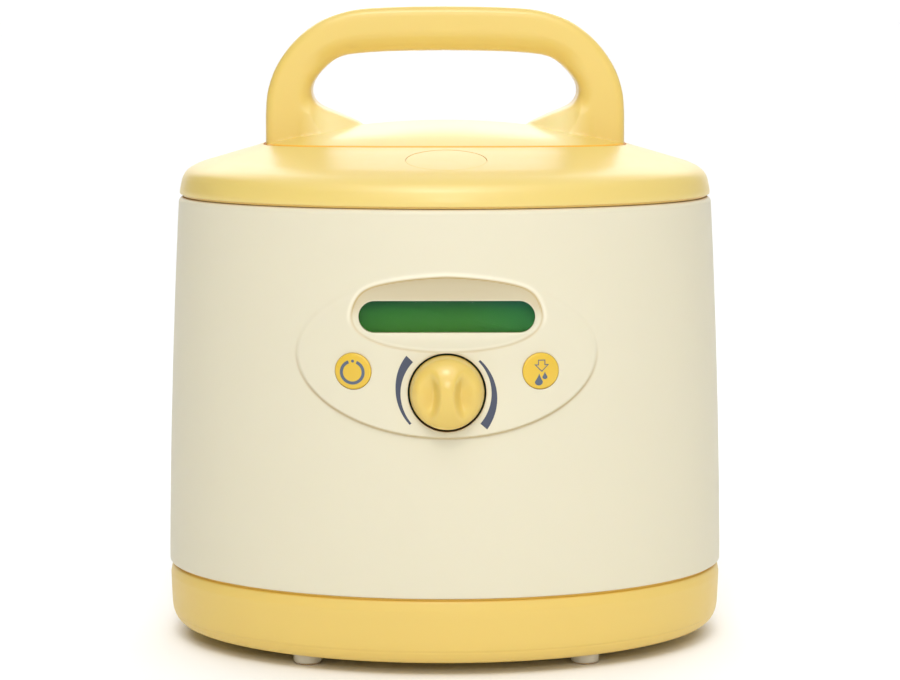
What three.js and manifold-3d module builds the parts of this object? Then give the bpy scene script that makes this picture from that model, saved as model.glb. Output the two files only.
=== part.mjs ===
// Hospital-grade electric breast pump: an oval housing on a shallow base tray, closed by a hinged lid
// that carries the handle. Under the lid a deck holds two rubber membranes. A reversing motor turns a
// coarse lead screw through a toothed belt, and the screw drives a yoke that pulls both membranes.
// Millimetres, +Z up, front face towards -Y, origin on the floor under the middle of the object.
import * as THREE from "three";
import { mergeVertices } from "three/addons/utils/BufferGeometryUtils.js";
import { ConvexGeometry } from "three/addons/geometries/ConvexGeometry.js";
import Module from "manifold-3d";

const wasm = await Module();
wasm.setup();

// ---- driving dimensions -------------------------------------------------------------------------
const OFFSET_Y = 4.8; // from the oval's centre to the middle of the whole object's depth
const RATIO = 0.81; // depth over width of the oval plan
const SEG = 40; // facets round the oval

const FOOT_H = 4; // clear bumper feet
const FOOT_R = 5;
const FOOT_AT = [48.5, 55];

const BASE_TOP = 27.9; // seam between base tray and housing
const HOUSING_BOTTOM = 28.7;
const HOUSING_TOP = 158.8;
// half-width of the housing's outer face at each height
const BODY = [
  [100.2, 28.7], [99.5, 66], [98.3, 102.2], [97, 133], [95.9, 154.6],
];
const WALL = 2.6;

const LID_BOTTOM = 159.6; // seam between housing and lid
const SEAT_A = 64.6; // rounded oval of the handle's foot on the lid
const SEAT_B = 33.2;
const SEAT_Z = 178;

const HANDLE_T = 26; // depth of the handle's bow

const HINGE = { y: 76, z: 153.6, r: 4, pin: 1.5 };

const DECK_Z = 149.9; // underside of the membrane deck
const DECK_T = 3;
const MEMBRANE_X = 38;
const MEMBRANE_Y = -5;
const STROKE = 7;

const LCD = { z: 123, hw: 29.9, hh: 5.45, floor: -74.3 }; // display window, half-width, half-height, depth
const PAD = { z: 110.5, hw: 51.2, hh: 28.2 }; // raised oval of the control panel
const KNOB = { z: 98, r: 12.6, hole: 13.4, front: -90.8, back: -78.9 };
const BTN = { x: 31.5, z: 105, r: 6.05 };
const RELEASE = { y: -50.6, z: 174.47, r: 13.95, slope: 11.6 }; // round lid release button in the front slope

const PORT = { y: 24, z: 159.25, r: 4.2 }; // round tube ports, half in the housing's rim and half in the lid's

const PLATE_Z = 104; // chassis plate
const MOTOR = { y: 38, r: 18, z0: 60, z1: 103.7 };
const BIG_PULLEY = 15;
const SMALL_PULLEY = 6;
const PULLEY_Z = [108.4, 115.6];
const LEG = [54, -40, 46]; // chassis legs: x, front y, rear y

// ---- helpers ------------------------------------------------------------------------------------
// A three.js geometry as a solid: shared vertices merged, collapsed faces dropped, faces turned out.
function solid(geometry) {
  const bare = new THREE.BufferGeometry();
  const source = geometry.index ? geometry.toNonIndexed() : geometry;
  bare.setAttribute("position", source.getAttribute("position").clone());
  const merged = mergeVertices(bare, 1e-3);
  const p = merged.getAttribute("position");
  const tri = [];
  let volume = 0;
  const a = new THREE.Vector3(), b = new THREE.Vector3(), c = new THREE.Vector3();
  for (let i = 0; i < merged.index.count; i += 3) {
    const [x, y, z] = [0, 1, 2].map((k) => merged.index.getX(i + k));
    if (x === y || y === z || x === z) continue;
    tri.push(x, y, z);
    a.fromBufferAttribute(p, x); b.fromBufferAttribute(p, y); c.fromBufferAttribute(p, z);
    volume += a.dot(b.cross(c));
  }
  if (volume < 0) for (let i = 0; i < tri.length; i += 3) [tri[i + 1], tri[i + 2]] = [tri[i + 2], tri[i + 1]];
  return new wasm.Manifold(new wasm.Mesh({ numProp: 3, vertProperties: new Float32Array(p.array), triVerts: new Uint32Array(tri) }));
}
const join = (...parts) => parts.reduce((a, b) => a.add(b));
const cut = (a, ...tools) => tools.reduce((s, t) => s.subtract(t), a);
function geometryOf(s) {
  const m = s.getMesh();
  const v = new Float32Array(m.numVert * 3);
  for (let i = 0; i < m.numVert; i++) v.set(m.vertProperties.subarray(i * m.numProp, i * m.numProp + 3), i * 3);
  const g = new THREE.BufferGeometry().setAttribute("position", new THREE.BufferAttribute(v, 3)).setIndex(new THREE.BufferAttribute(new Uint32Array(m.triVerts), 1));
  g.computeVertexNormals();
  return g;
}
const box = (x0, x1, y0, y1, z0, z1) => solid(new THREE.BoxGeometry(x1 - x0, y1 - y0, z1 - z0).translate((x0 + x1) / 2, (y0 + y1) / 2, (z0 + z1) / 2));
const cylZ = (x, y, r, z0, z1, n = 24, r2 = r) => solid(new THREE.CylinderGeometry(r2, r, z1 - z0, n).rotateX(Math.PI / 2).translate(x, y, (z0 + z1) / 2));
const cylY = (x, z, r, y0, y1, n = 24) => solid(new THREE.CylinderGeometry(r, r, y1 - y0, n).translate(x, (y0 + y1) / 2, z));
const cylX = (y, z, r, x0, x1, n = 24) => solid(new THREE.CylinderGeometry(r, r, x1 - x0, n).rotateZ(Math.PI / 2).translate((x0 + x1) / 2, y, z));
// A body of oval rings: each ring is [half-width, half-depth, height, exponent]; exponent 2 is an ellipse,
// a larger one is squarer; a ring of no width is on the axis.
function rings(profile, seg = SEG) {
  const g = new THREE.LatheGeometry(profile.map(([a, , z]) => new THREE.Vector2(a, z)), seg).rotateX(Math.PI / 2);
  const p = g.getAttribute("position");
  for (let i = 0; i < p.count; i++) {
    const [a, b, , n = 2] = profile[i % profile.length];
    if (a === 0) continue;
    const bend = (t) => Math.sign(t) * Math.abs(t) ** (2 / n);
    const x = p.getX(i) / a, y = p.getY(i) / a;
    p.setX(i, a * bend(Math.abs(x) < 1e-6 ? 0 : x));
    p.setY(i, b * bend(Math.abs(y) < 1e-6 ? 0 : y));
  }
  return solid(g);
}
const oval = (profile, seg = SEG) => rings(profile.map(([a, z]) => [a, a * RATIO, z]), seg);
const turned = (points, x = 0, y = 0, seg = 24) => solid(new THREE.LatheGeometry(points.map(([r, z]) => new THREE.Vector2(r, z)), seg).rotateX(Math.PI / 2).translate(x, y, 0));
const prism = (shape, depth, options = {}) => new THREE.ExtrudeGeometry(shape, { depth, bevelEnabled: false, curveSegments: 12, ...options });
const shapeOf = (points) => new THREE.Shape(points.map(([x, y]) => new THREE.Vector2(x, y)));
const ovalShape = (a, b, n = 40) => shapeOf(Array.from({ length: n }, (_, i) => [a * Math.cos((2 * Math.PI * i) / n), b * Math.sin((2 * Math.PI * i) / n)]));
// an upright outline in X and Z, drawn out along Y from y0 to y1
const drawnY = (shape, y0, y1, options) => solid(prism(shape, y1 - y0, options).rotateX(Math.PI / 2).translate(0, y1, 0));

const root = new THREE.Group();
const assembly = new THREE.Group();
assembly.position.y = OFFSET_Y;
root.add(assembly);
const paint = {
  cream: new THREE.MeshStandardMaterial({ color: 0xede7ce, roughness: 0.5, metalness: 0 }),
  yellow: new THREE.MeshStandardMaterial({ color: 0xf3d67c, roughness: 0.42, metalness: 0 }),
  button: new THREE.MeshStandardMaterial({ color: 0xf6d04a, roughness: 0.38, metalness: 0 }),
  clear: new THREE.MeshStandardMaterial({ color: 0xf4f1e6, roughness: 0.2, metalness: 0, transparent: true, opacity: 0.4 }),
  glass: new THREE.MeshStandardMaterial({ color: 0xcfe8d0, roughness: 0.08, metalness: 0, transparent: true, opacity: 0.35 }),
  lcd: new THREE.MeshStandardMaterial({ color: 0x3f7a34, roughness: 0.4, metalness: 0 }),
  board: new THREE.MeshStandardMaterial({ color: 0x2f6b3a, roughness: 0.55, metalness: 0 }),
  dark: new THREE.MeshStandardMaterial({ color: 0x24262b, roughness: 0.5, metalness: 0 }),
  grey: new THREE.MeshStandardMaterial({ color: 0x9a9c9e, roughness: 0.55, metalness: 0 }),
  membrane: new THREE.MeshStandardMaterial({ color: 0xe9e2cf, roughness: 0.75, metalness: 0 }),
  steel: new THREE.MeshStandardMaterial({ color: 0xb9bcc0, roughness: 0.3, metalness: 1 }),
  brass: new THREE.MeshStandardMaterial({ color: 0xc7a552, roughness: 0.3, metalness: 1 }),
  belt: new THREE.MeshStandardMaterial({ color: 0x1b1b1c, roughness: 0.85, metalness: 0 }),
  card: new THREE.MeshStandardMaterial({ color: 0xf0c64e, roughness: 0.45, metalness: 0 }),
};
function add(parent, name, part, material, at) {
  const mesh = new THREE.Mesh(part.isBufferGeometry ? part : geometryOf(part), paint[material]);
  mesh.name = name;
  if (at) mesh.position.set(...at);
  parent.add(mesh);
  return mesh;
}

// ---- base tray ----------------------------------------------------------------------------------
const base = new THREE.Group();
assembly.add(base);
const legs = [[-LEG[0], LEG[1]], [LEG[0], LEG[1]], [-LEG[0], LEG[2]], [LEG[0], LEG[2]]];
{
  let s = oval([
    [0, 4], [91.6, 4], [95.8, 5.2], [98.6, 8.2], [99.5, 11.8], [99.9, BASE_TOP],
    [97.2, BASE_TOP], [97.2, 33], [95.2, 33], [95, 9.6], [92.4, 7.2], [0, 7.2],
  ]);
  for (const [x, y] of legs) s = cut(join(s, cylZ(x, y, 6.5, 6, 10.7, 16)), cylZ(x, y, 2.2, 2, 12, 12), cylZ(x, y, 4.4, 2, 7, 16));
  // vent slots through the floor under the power supply
  for (const x of [-18, -6, 6, 18]) s = cut(s, box(x - 1.2, x + 1.2, 58, 68, 2, 9));
  add(base, "base_tray", s, "yellow");
  const foot = turned([[0, 0], [FOOT_R - 1.3, 0], [FOOT_R - 0.3, 0.7], [FOOT_R, 1.8], [FOOT_R, FOOT_H - 0.3], [0, FOOT_H - 0.3]], 0, 0, 16);
  for (const [n, x, y] of [["front_left", -1, -1], ["front_right", 1, -1], ["rear_left", -1, 1], ["rear_right", 1, 1]])
    add(base, "foot_" + n, foot, "clear", [x * FOOT_AT[0], y * FOOT_AT[1], 0]);
  const screw = turned([[0, 4.9], [3.9, 4.9], [3.9, 6.6], [1.7, 6.6], [1.7, 19], [0, 19.8]], 0, 0, 10);
  legs.forEach(([x, y], i) => add(base, "base_screw_" + (i + 1), screw, "steel", [x, y, 0]));
}

// ---- housing ------------------------------------------------------------------------------------
const front = new THREE.Group();
assembly.add(front);
const BOARD_PEGS = [[-45, 90, -69.6], [45, 90, -69.6], [-45, 132, -68.2], [45, 132, -68.2]];
const stadium = (hw, hh, z, n = 8) => {
  const pts = [];
  for (let i = 0; i <= n; i++) { const t = -Math.PI / 2 + (Math.PI * i) / n; pts.push([hw - hh + hh * Math.cos(t), z + hh * Math.sin(t), Math.cos(t), Math.sin(t)]); }
  for (let i = 0; i <= n; i++) { const t = Math.PI / 2 + (Math.PI * i) / n; pts.push([-(hw - hh) + hh * Math.cos(t), z + hh * Math.sin(t), Math.cos(t), Math.sin(t)]); }
  return pts;
};
// the recess round the display: a funnel from the window out to the face, flatter above than below
function funnel(grow, y0, y1) {
  const pts = [];
  for (const [x, z, nx, nz] of stadium(LCD.hw, LCD.hh, LCD.z)) {
    const m = nz >= 0 ? 1.5 - 0.03 * (1 - nz) : 1.47 + 0.62 * nz;
    for (const y of [y0, y1]) {
      const d = grow + Math.max(0, LCD.floor - y) * m;
      pts.push(new THREE.Vector3(x + nx * d, y, z + nz * d));
    }
  }
  return solid(new ConvexGeometry(pts));
}
{
  const outer = oval([[0, HOUSING_BOTTOM], ...BODY, [95.4, 157.4], [94.4, HOUSING_TOP], [0, HOUSING_TOP]]);
  const swell = [[1.5, 66], [1.35, 82], [0.75, 102.2], [0.1, 120], [-0.8, 142]];
  const width = (z) => { for (let i = 1; i < BODY.length; i++) if (z <= BODY[i][1]) { const [a0, z0] = BODY[i - 1], [a1, z1] = BODY[i]; return a0 + ((a1 - a0) * (z - z0)) / (z1 - z0); } return BODY.at(-1)[0]; };
  const padBody = oval([[0, 66], ...swell.map(([d, z]) => [width(z) + d / RATIO, z]), [0, 142]]);
  const padPrism = drawnY(ovalShape(PAD.hw, PAD.hh, 40), -90, -40).translate([0, 0, PAD.z]);
  const inner = oval([[0, 20], [97.6, 20], [97.6, 33.4], [96.9, 66], [95.7, 102.2], [94.2, 138], [93.8, 143.5], [89.6, 147], [89.6, 149.6], [93.1, 149.6], [93.1, 170], [0, 170]]);
  let s = cut(join(outer, padBody.intersect(padPrism)), inner);
  s = join(s, funnel(2.2, -71.9, -86).intersect(join(outer, padBody.intersect(padPrism))));
  s = cut(s, funnel(0, LCD.floor, -90), drawnY(shapeOf(stadium(LCD.hw, LCD.hh, LCD.z)), -76, -60));
  for (const [x, z, y] of BOARD_PEGS) s = join(s, cylY(x, z, 3, y, -61.9, 10), cylY(x, z, 1.3, -62.5, -59.4, 10));
  s = cut(s, cylY(0, KNOB.z, KNOB.hole, -95, -60, 28), cylY(-BTN.x, BTN.z, BTN.r + 0.4, -90, -60, 20), cylY(BTN.x, BTN.z, BTN.r + 0.4, -90, -60, 20));
  // rear: hinge notch, card slot, mains inlet opening, cooling slots
  s = cut(s, box(-21, 21, 66, 92, 148.4, 172), box(-23, 23, 60, 92, 117.8, 122.4), box(-14.4, 14.4, 60, 92, 36.4, 56.4));
  for (let i = -3; i <= 3; i++) s = cut(s, box(i * 8 - 1.3, i * 8 + 1.3, 60, 92, 72, 92));
  // half-round tube ports in both sides of the rim
  s = cut(s, cylX(PORT.y, PORT.z, PORT.r, -99, -84, 20), cylX(PORT.y, PORT.z, PORT.r, 84, 99, 20));
  add(front, "housing", s, "cream");
}

// ---- control panel ------------------------------------------------------------------------------
{
  add(front, "display_window", join(drawnY(shapeOf(stadium(LCD.hw - 0.3, LCD.hh - 0.3, LCD.z)), LCD.floor + 0.35, -71.2), drawnY(shapeOf(stadium(33, 8, LCD.z)), -71.6, -70.6)), "glass");
  add(front, "lcd_module", cut(box(-36, 36, -70.3, -64.6, 113.2, 134), box(-30.5, 30.5, -71, -69.6, 116.4, 129.6)), "lcd");
  add(front, "display_board", cut(box(-50, 50, -61.6, -60, 86, 136), ...BOARD_PEGS.map(([x, z]) => cylY(x, z, 1.6, -63, -58, 10))), "board");
  add(front, "encoder_body", cut(join(box(-6.5, 6.5, -68.4, -61.9, KNOB.z - 6.5, KNOB.z + 6.5), cylY(0, KNOB.z, 4.4, -73, -68, 16)), cylY(0, KNOB.z, 3.3, -75, -64, 16)), "grey");
  for (const [n, x] of [["power", -BTN.x], ["letdown", BTN.x]])
    add(front, n + "_switch", join(box(x - 3.1, x + 3.1, -65.6, -61.9, BTN.z - 3.1, BTN.z + 3.1), cylY(x, BTN.z, 1.7, -66.9, -65.2, 10)), "dark");

  // knob: round cap with two scoops that leave an upright grip across the middle
  let k = cylY(0, KNOB.z, KNOB.r, KNOB.front + 2.8, KNOB.back, 32);
  k = join(k, solid(new THREE.CylinderGeometry(KNOB.r, 10.4, 3, 32).translate(0, KNOB.front + 1.5, KNOB.z)));
  for (const side of [-1, 1]) {
    const scoop = solid(new THREE.SphereGeometry(8.4, 12, 9).scale(0.78, 0.8, 1.35).translate(side * 8.6, KNOB.front - 2.4, KNOB.z));
    k = cut(k, scoop);
  }
  k = cut(k, cylY(0, KNOB.z, 3.3, KNOB.front + 4, KNOB.back + 1, 16), cut(cylY(0, KNOB.z, 10.6, KNOB.back - 3, KNOB.back + 1, 28), cylY(0, KNOB.z, 5.4, KNOB.back - 4, KNOB.back + 2, 20)));
  add(front, "knob", k, "yellow");
  add(front, "encoder_shaft", cylY(0, KNOB.z, 3, KNOB.front + 4.4, -64.4, 16), "steel");

  // push buttons: the face follows the curve of the housing, the flange keeps each one in
  for (const [n, side] of [["power", -1], ["letdown", 1]]) {
    const x = side * BTN.x;
    const face = new THREE.Matrix4().makeRotationZ(side * (15.4 * Math.PI) / 180);
    const trim = solid(new THREE.BoxGeometry(40, 20, 40).translate(0, -10, 0).applyMatrix4(face).translate(x, -76.9, BTN.z));
    let b = cut(cylY(x, BTN.z, BTN.r, -84, -70.4, 28), trim);
    b = join(b, cylY(x, BTN.z, 7, -70.5, -69.4, 20), cylY(x, BTN.z, 2.5, -69.6, -68.2, 12));
    add(front, n + "_button", b, "button");
  }
}

// ---- rear: mains inlet and program card ----------------------------------------------------------
{
  let s = join(box(-14, 14, 60, 76.8, 36.8, 56), box(-13, 13, 57.5, 60.5, 39, 54));
  const mouth = new THREE.Shape();
  mouth.absarc(-4, 0, 4.3, Math.PI / 2, (3 * Math.PI) / 2, false);
  mouth.absarc(4, 0, 4.3, -Math.PI / 2, Math.PI / 2, false);
  s = cut(s, drawnY(mouth, 62.5, 90, { curveSegments: 8 }).translate([0, 0, 46.4]), cylY(-3.5, 46.4, 1.5, 50, 66, 12), cylY(3.5, 46.4, 1.5, 50, 66, 12));
  add(front, "mains_inlet", s, "dark");
  for (const [n, x] of [["left", -3.5], ["right", 3.5]]) add(front, "inlet_pin_" + n, cylY(x, 46.4, 1.2, 55, 73, 12), "brass");
  add(front, "card_connector", cut(box(-26, 26, 42, 71.5, 116.4, 123.8), box(-22.6, 22.6, 46, 75, 118.9, 121.3)), "dark");
  add(front, "program_card", join(box(-21.5, 21.5, 46.4, 77.5, 119.3, 120.9), box(-22, 22, 74.6, 81.2, 118.3, 121.9)), "card");
}

// ---- deck with its membranes, latch keeper and hinge bracket --------------------------------------
const top = new THREE.Group();
assembly.add(top);
const DECK_TOP = DECK_Z + DECK_T;
const deckScrews = [[-62, -30], [62, -30], [-13, 61], [13, 61]];
{
  let s = oval([[0, DECK_Z], [92.6, DECK_Z], [92.6, DECK_TOP], [0, DECK_TOP]]);
  for (const side of [-1, 1]) s = cut(s, cylZ(side * MEMBRANE_X, MEMBRANE_Y, 22, 140, 160, 24));
  s = cut(s, box(-22, 22, 66, 90, 140, 160), box(-8, 8, -70.2, -57, 140, 160));
  for (const [x, y] of deckScrews) s = cut(s, cylZ(x, y, 1.9, 140, 160, 12));
  add(top, "deck", s, "yellow");
  const m = [[0, 157], [14.6, 157], [18, 155], [22, 153.2], [28.5, 153.2], [28.5, 154.6], [23, 154.6], [19, 156.4], [15.4, 158.2], [0, 158.2]];
  const ring = [[23.8, 154.9], [30.6, 154.9], [30.6, 156.6], [29.8, 157.4], [24.4, 157.4], [23.8, 154.9]];
  for (const [n, side] of [["left", -1], ["right", 1]]) {
    add(top, "membrane_" + n, turned(m, side * MEMBRANE_X, MEMBRANE_Y, 24), "membrane");
    add(top, "membrane_ring_" + n, turned(ring, side * MEMBRANE_X, MEMBRANE_Y, 24), "cream");
  }
  const screw = turned([[0, 140.5], [1.5, 141.5], [1.5, 153.3], [3.1, 153.3], [3.1, 155], [0, 155]], 0, 0, 10);
  deckScrews.forEach(([x, y], i) => add(top, "deck_screw_" + (i + 1), screw, "steel", [x, y, i < 2 ? 0 : 2.2]));
  add(top, "latch_keeper", cut(box(-13, 13, -71.2, -65.3, 153.2, 154.4), box(-3, 3, -72, -70, 152, 156)), "steel");

  let b = join(box(-20.5, 20.5, 56, 66.8, 153.2, 155.2), box(-20.5, 20.5, 66.5, 71.4, 150.2, 157.8));
  b = join(b, cylX(HINGE.y, HINGE.z, HINGE.r, -10, 10, 24), box(-10, 10, 71, HINGE.y, 150.4, 156.8));
  b = cut(b, cylX(HINGE.y, HINGE.z, HINGE.pin + 0.3, -30, 30, 16));
  for (const [x, y] of deckScrews.slice(2)) b = cut(b, cylZ(x, y, 1.9, 150, 160, 12));
  add(top, "hinge_bracket", b, "yellow");
  add(top, "hinge_pin", cylX(HINGE.y, HINGE.z, HINGE.pin, -20.2, 20.2, 16), "steel");
}

// ---- pump mechanism --------------------------------------------------------------------------------
const pump = new THREE.Group();
assembly.add(pump);
{
  let c = solid(prism(shapeOf([[-60, -40], [-50, -48], [50, -48], [60, -40], [60, 48], [52, 55], [-52, 55], [-60, 48]]), 3).translate(0, 0, PLATE_Z));
  for (const [x, y] of legs) c = join(c, cylZ(x, y, 4.5, 11, PLATE_Z + 0.5, 16));
  for (const [x, y] of legs) c = cut(c, cylZ(x, y, 2, 9, 24, 12));
  c = cut(c, cylZ(0, MEMBRANE_Y, 7.3, 100, 110, 24), cylZ(0, MOTOR.y, 8, 100, 110, 24), box(-48, -28, -30, 30, 100, 110), box(28, 48, -30, 30, 100, 110));
  add(pump, "chassis", c, "grey");
  add(pump, "motor", cut(join(cylZ(0, MOTOR.y, MOTOR.r, MOTOR.z0, MOTOR.z1, 24), cylZ(0, MOTOR.y, 6, MOTOR.z1 - 0.5, MOTOR.z1 + 2.5, 20), cylZ(0, MOTOR.y, 6, MOTOR.z0 - 2.5, MOTOR.z0 + 0.5, 20)), cylZ(0, MOTOR.y, 1.9, 96, 110, 12)), "steel");
  add(pump, "screw_bearing", turned([[3.4, PLATE_Z + 0.2], [7, PLATE_Z + 0.2], [7, PLATE_Z + 2.8], [3.4, PLATE_Z + 2.8], [3.4, PLATE_Z + 0.2]], 0, MEMBRANE_Y, 16), "steel");
  for (const [n, side] of [["left", -1], ["right", 1]]) add(pump, "guide_rod_" + n, cylZ(side * 20.5, MEMBRANE_Y, 2, 107.3, 149.5, 12), "steel");

  const loop = (extra) => {
    const R = BIG_PULLEY + extra, r = SMALL_PULLEY + extra, d = MOTOR.y - MEMBRANE_Y, t = Math.asin((R - r) / d);
    return { R, r, t };
  };
  const outline = (extra) => {
    const { R, r, t } = loop(extra), pts = [];
    const arc = (cy, rad, a0, a1, n) => { for (let i = 0; i <= n; i++) { const a = a0 + ((a1 - a0) * i) / n; pts.push([rad * Math.cos(a), cy + rad * Math.sin(a)]); } };
    arc(MOTOR.y, r, t, Math.PI - t, 10);
    arc(MEMBRANE_Y, R, Math.PI - t, 2 * Math.PI + t, 20);
    return shapeOf(pts);
  };
  add(pump, "timing_belt", cut(solid(prism(outline(1.5), 4.8).translate(0, 0, 109.6)), solid(prism(outline(0.3), 10).translate(0, 0, 106))), "belt");

  const [p0, p1] = PULLEY_Z;
  const pulley = (r, flange, bore) => [[bore, p0], [flange, p0], [flange, p0 + 0.8], [r, p0 + 0.8], [r, p1 - 0.8], [flange, p1 - 0.8], [flange, p1], [bore, p1], [bore, p0]];
  add(pump, "drive_pulley", turned(pulley(BIG_PULLEY, 17, 3.3), 0, MEMBRANE_Y, 24), "dark");
  add(pump, "drive_screw", turned([[0, 101.5], [3, 101.5], [3, 145.5], [2.2, 146.5], [0, 146.5]], 0, MEMBRANE_Y, 20), "steel");
  add(pump, "motor_pulley", join(turned(pulley(SMALL_PULLEY, 7.2, 0.8), 0, MOTOR.y, 16), cylZ(0, MOTOR.y, 1.5, 97, p1 + 0.3, 12)), "steel");

  let y = join(box(-43, 43, MEMBRANE_Y - 7, MEMBRANE_Y + 7, 124, 131), cylZ(0, MEMBRANE_Y, 11.5, 124, 131, 24));
  y = cut(y, cylZ(0, MEMBRANE_Y, 7.3, 120, 140, 24));
  for (const side of [-1, 1]) y = cut(y, cylZ(side * 20.5, MEMBRANE_Y, 2.4, 120, 140, 12), cylZ(side * MEMBRANE_X, MEMBRANE_Y, 2.3, 120, 140, 12));
  add(pump, "yoke", y, "grey");
  add(pump, "screw_nut", turned([[3.4, 123.6], [7, 123.6], [7, 131.4], [9.5, 131.4], [9.5, 134], [3.4, 134], [3.4, 123.6]], 0, MEMBRANE_Y, 16), "brass");
  for (const [n, side] of [["left", -1], ["right", 1]])
    add(pump, "piston_" + n, turned([[0, 124.6], [2, 124.6], [2, 131.3], [3.6, 131.3], [3.6, 151.8], [13.5, 153.6], [13.5, 156.7], [0, 156.7]], side * MEMBRANE_X, MEMBRANE_Y, 16), "grey");

  add(pump, "battery_pack", solid(prism(shapeOf([[-45, -53], [45, -53], [45, -8], [-45, -8]]), 33).translate(0, 0, 7.5)), "dark");
  add(pump, "power_supply", join(box(-42, 42, 0, 54, 8, 9.8), box(-30, 4, 6, 46, 9.5, 36), cylZ(24, 14, 8, 9.5, 30, 16), box(12, 34, 30, 46, 9.5, 24)), "board");
  add(pump, "main_board", join(box(-48, 48, -44, 52, 47.6, 49.2), box(-20, 2, -22, 0, 49, 52), box(16, 30, 10, 30, 49, 54), box(-40, -26, 18, 40, 49, 53)), "board");
}

// ---- lid with the handle, release button and latch -------------------------------------------------
const lid = new THREE.Group();
assembly.add(lid);
{
  let s = rings([
    [0, 0, 176.5, 3], [SEAT_A + 0.3, SEAT_B + 0.3, 176.5, 3], [SEAT_A + 0.4, SEAT_B + 0.4, SEAT_Z, 3], [70.6, 41.2, 176.4, 2.6],
    [79.5, 54, 173.8, 2.25], [87.6, 65.6, 171.4], [91.6, 72.2, 169.4], [93.9, 75.4, 167], [94.8, 76.7, 163.6], [95.3, 77.2, LID_BOTTOM + 0.4],
    [94.9, 76.9, LID_BOTTOM], [92.7, 74.9, LID_BOTTOM], [92.2, 74.3, 164.6], [90, 70.6, 167.4], [86, 64.4, 169], [78, 52.4, 171.4, 2.25],
    [65, 34, 174.2, 2.8], [0, 0, 174.2, 2.8],
  ]);
  const tilt = new THREE.Matrix4().makeRotationX((RELEASE.slope * Math.PI) / 180).setPosition(0, RELEASE.y, RELEASE.z);
  // a round piece seen from above whose top and bottom follow the slope, z0 to z1 from its surface
  const slab = (r, z0, z1, n = 36) => cylZ(0, RELEASE.y, r, 150, 195, n).intersect(solid(new THREE.BoxGeometry(60, 60, z1 - z0).translate(0, 0, (z0 + z1) / 2).applyMatrix4(tilt)));
  s = cut(s, slab(RELEASE.r + 0.35, -12, 9), slab(RELEASE.r + 2.2, -12, -2.9, 28));
  // rails that hold the latch slider, and the wall its spring pushes on
  for (const side of [-1, 1]) {
    const [x0, x1, x2, x3] = side < 0 ? [-18, -16.4, -18, -13] : [16.4, 18, 13, 18];
    s = join(s, box(x0, x1, -60, -29.6, 158.6, 171.2), box(x2, x3, -60, -36, 158.6, 159.8));
  }
  s = join(s, box(-18, 18, -31, -29.6, 160, 174.6));
  for (const side of [-1, 1]) {
    // hinge lugs at the rear, reaching down from the rim to the pin
    const x0 = side < 0 ? -20.5 : 10.5, x1 = x0 + 10;
    s = join(s, cylX(HINGE.y, HINGE.z, HINGE.r, x0, x1, 24), box(x0, x1, 73.2, 78.2, HINGE.z, 160.4));
  }
  s = cut(s, cylX(HINGE.y, HINGE.z, HINGE.pin + 0.3, -30, 30, 16));
  s = cut(s, box(-SEAT_A - 0.2, SEAT_A + 0.2, -13.4, 13.4, 176.5, 182));
  for (const x of [-40, 40]) s = cut(s, cylZ(x, 0, 1.9, 160, 180, 12));
  s = cut(s, cylX(PORT.y, PORT.z, PORT.r, -99, -84, 20), cylX(PORT.y, PORT.z, PORT.r, 84, 99, 20));
  add(lid, "lid", s, "yellow");

  // handle: a low dome on the lid with a bow across it; the bow's legs run down onto the dome as two fins
  const dome = rings([[0, 0, 176.8, 3], [SEAT_A, SEAT_B, 176.8, 3], [SEAT_A, SEAT_B, 178.1, 3], [60.5, 30.8, 179.2, 2.8], [51, 25.6, 181.2, 2.5], [36, 17.8, 183.8, 2.2], [18, 8.7, 185.7], [0, 0, 186.3]], 40);
  const outside = [[64.2, 176.8], [64.4, 189], [63.8, 195], [62.9, 200], [61.3, 204.6], [58.8, 209], [55.3, 213.6], [50.6, 218], [44.6, 221.9], [38, 224.4], [30, 226.1], [16, 226.8], [0, 227]];
  const inside = [[0, 209.9], [22, 209.7], [34, 209.3], [38.4, 208.3], [41.8, 206.3], [44.6, 203.4], [46.6, 200.4], [47.5, 197.6], [47.2, 195], [45.6, 192.6], [42, 190.6], [36.4, 188.6], [30, 185.9], [26, 183.9], [24, 182.6]];
  const mirror = (points) => points.map(([x, z]) => [-x, z]);
  const bow = [...outside, ...mirror(outside.slice(0, -1)).reverse(), [-24, 176.8], ...mirror(inside).reverse(), ...inside.slice(1), [24, 176.8]];
  const bevel = 2.6;
  let h = solid(prism(shapeOf(bow), HANDLE_T - 2 * bevel, { bevelEnabled: true, bevelThickness: bevel, bevelSize: bevel, bevelOffset: -bevel, bevelSegments: 2 })
    .rotateX(Math.PI / 2).translate(0, HANDLE_T / 2 - bevel, 0));
  for (const x of [-1, 1]) for (const y of [-1, 1])
    h = cut(h, solid(prism(shapeOf([[47.4 * x, 9 * y], [22 * x, 0.6 * y], [18 * x, 16 * y], [47.4 * x, 16 * y]]), 19.4).translate(0, 0, 176)));
  h = cut(join(h, dome), box(-80, 80, -50, 50, 160, 176.8));
  for (const x of [-40, 40]) h = cut(h, cylZ(x, 0, 1.5, 170, 181.5, 12));
  add(lid, "handle", h, "yellow");
  const screw = turned([[0, 170.6], [3.2, 170.6], [3.2, 173.7], [1.2, 173.7], [1.2, 181], [0, 181.3]], 0, 0, 10);
  add(lid, "handle_screw_left", screw, "steel", [-40, 0, 0]);
  add(lid, "handle_screw_right", screw, "steel", [40, 0, 0]);

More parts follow.
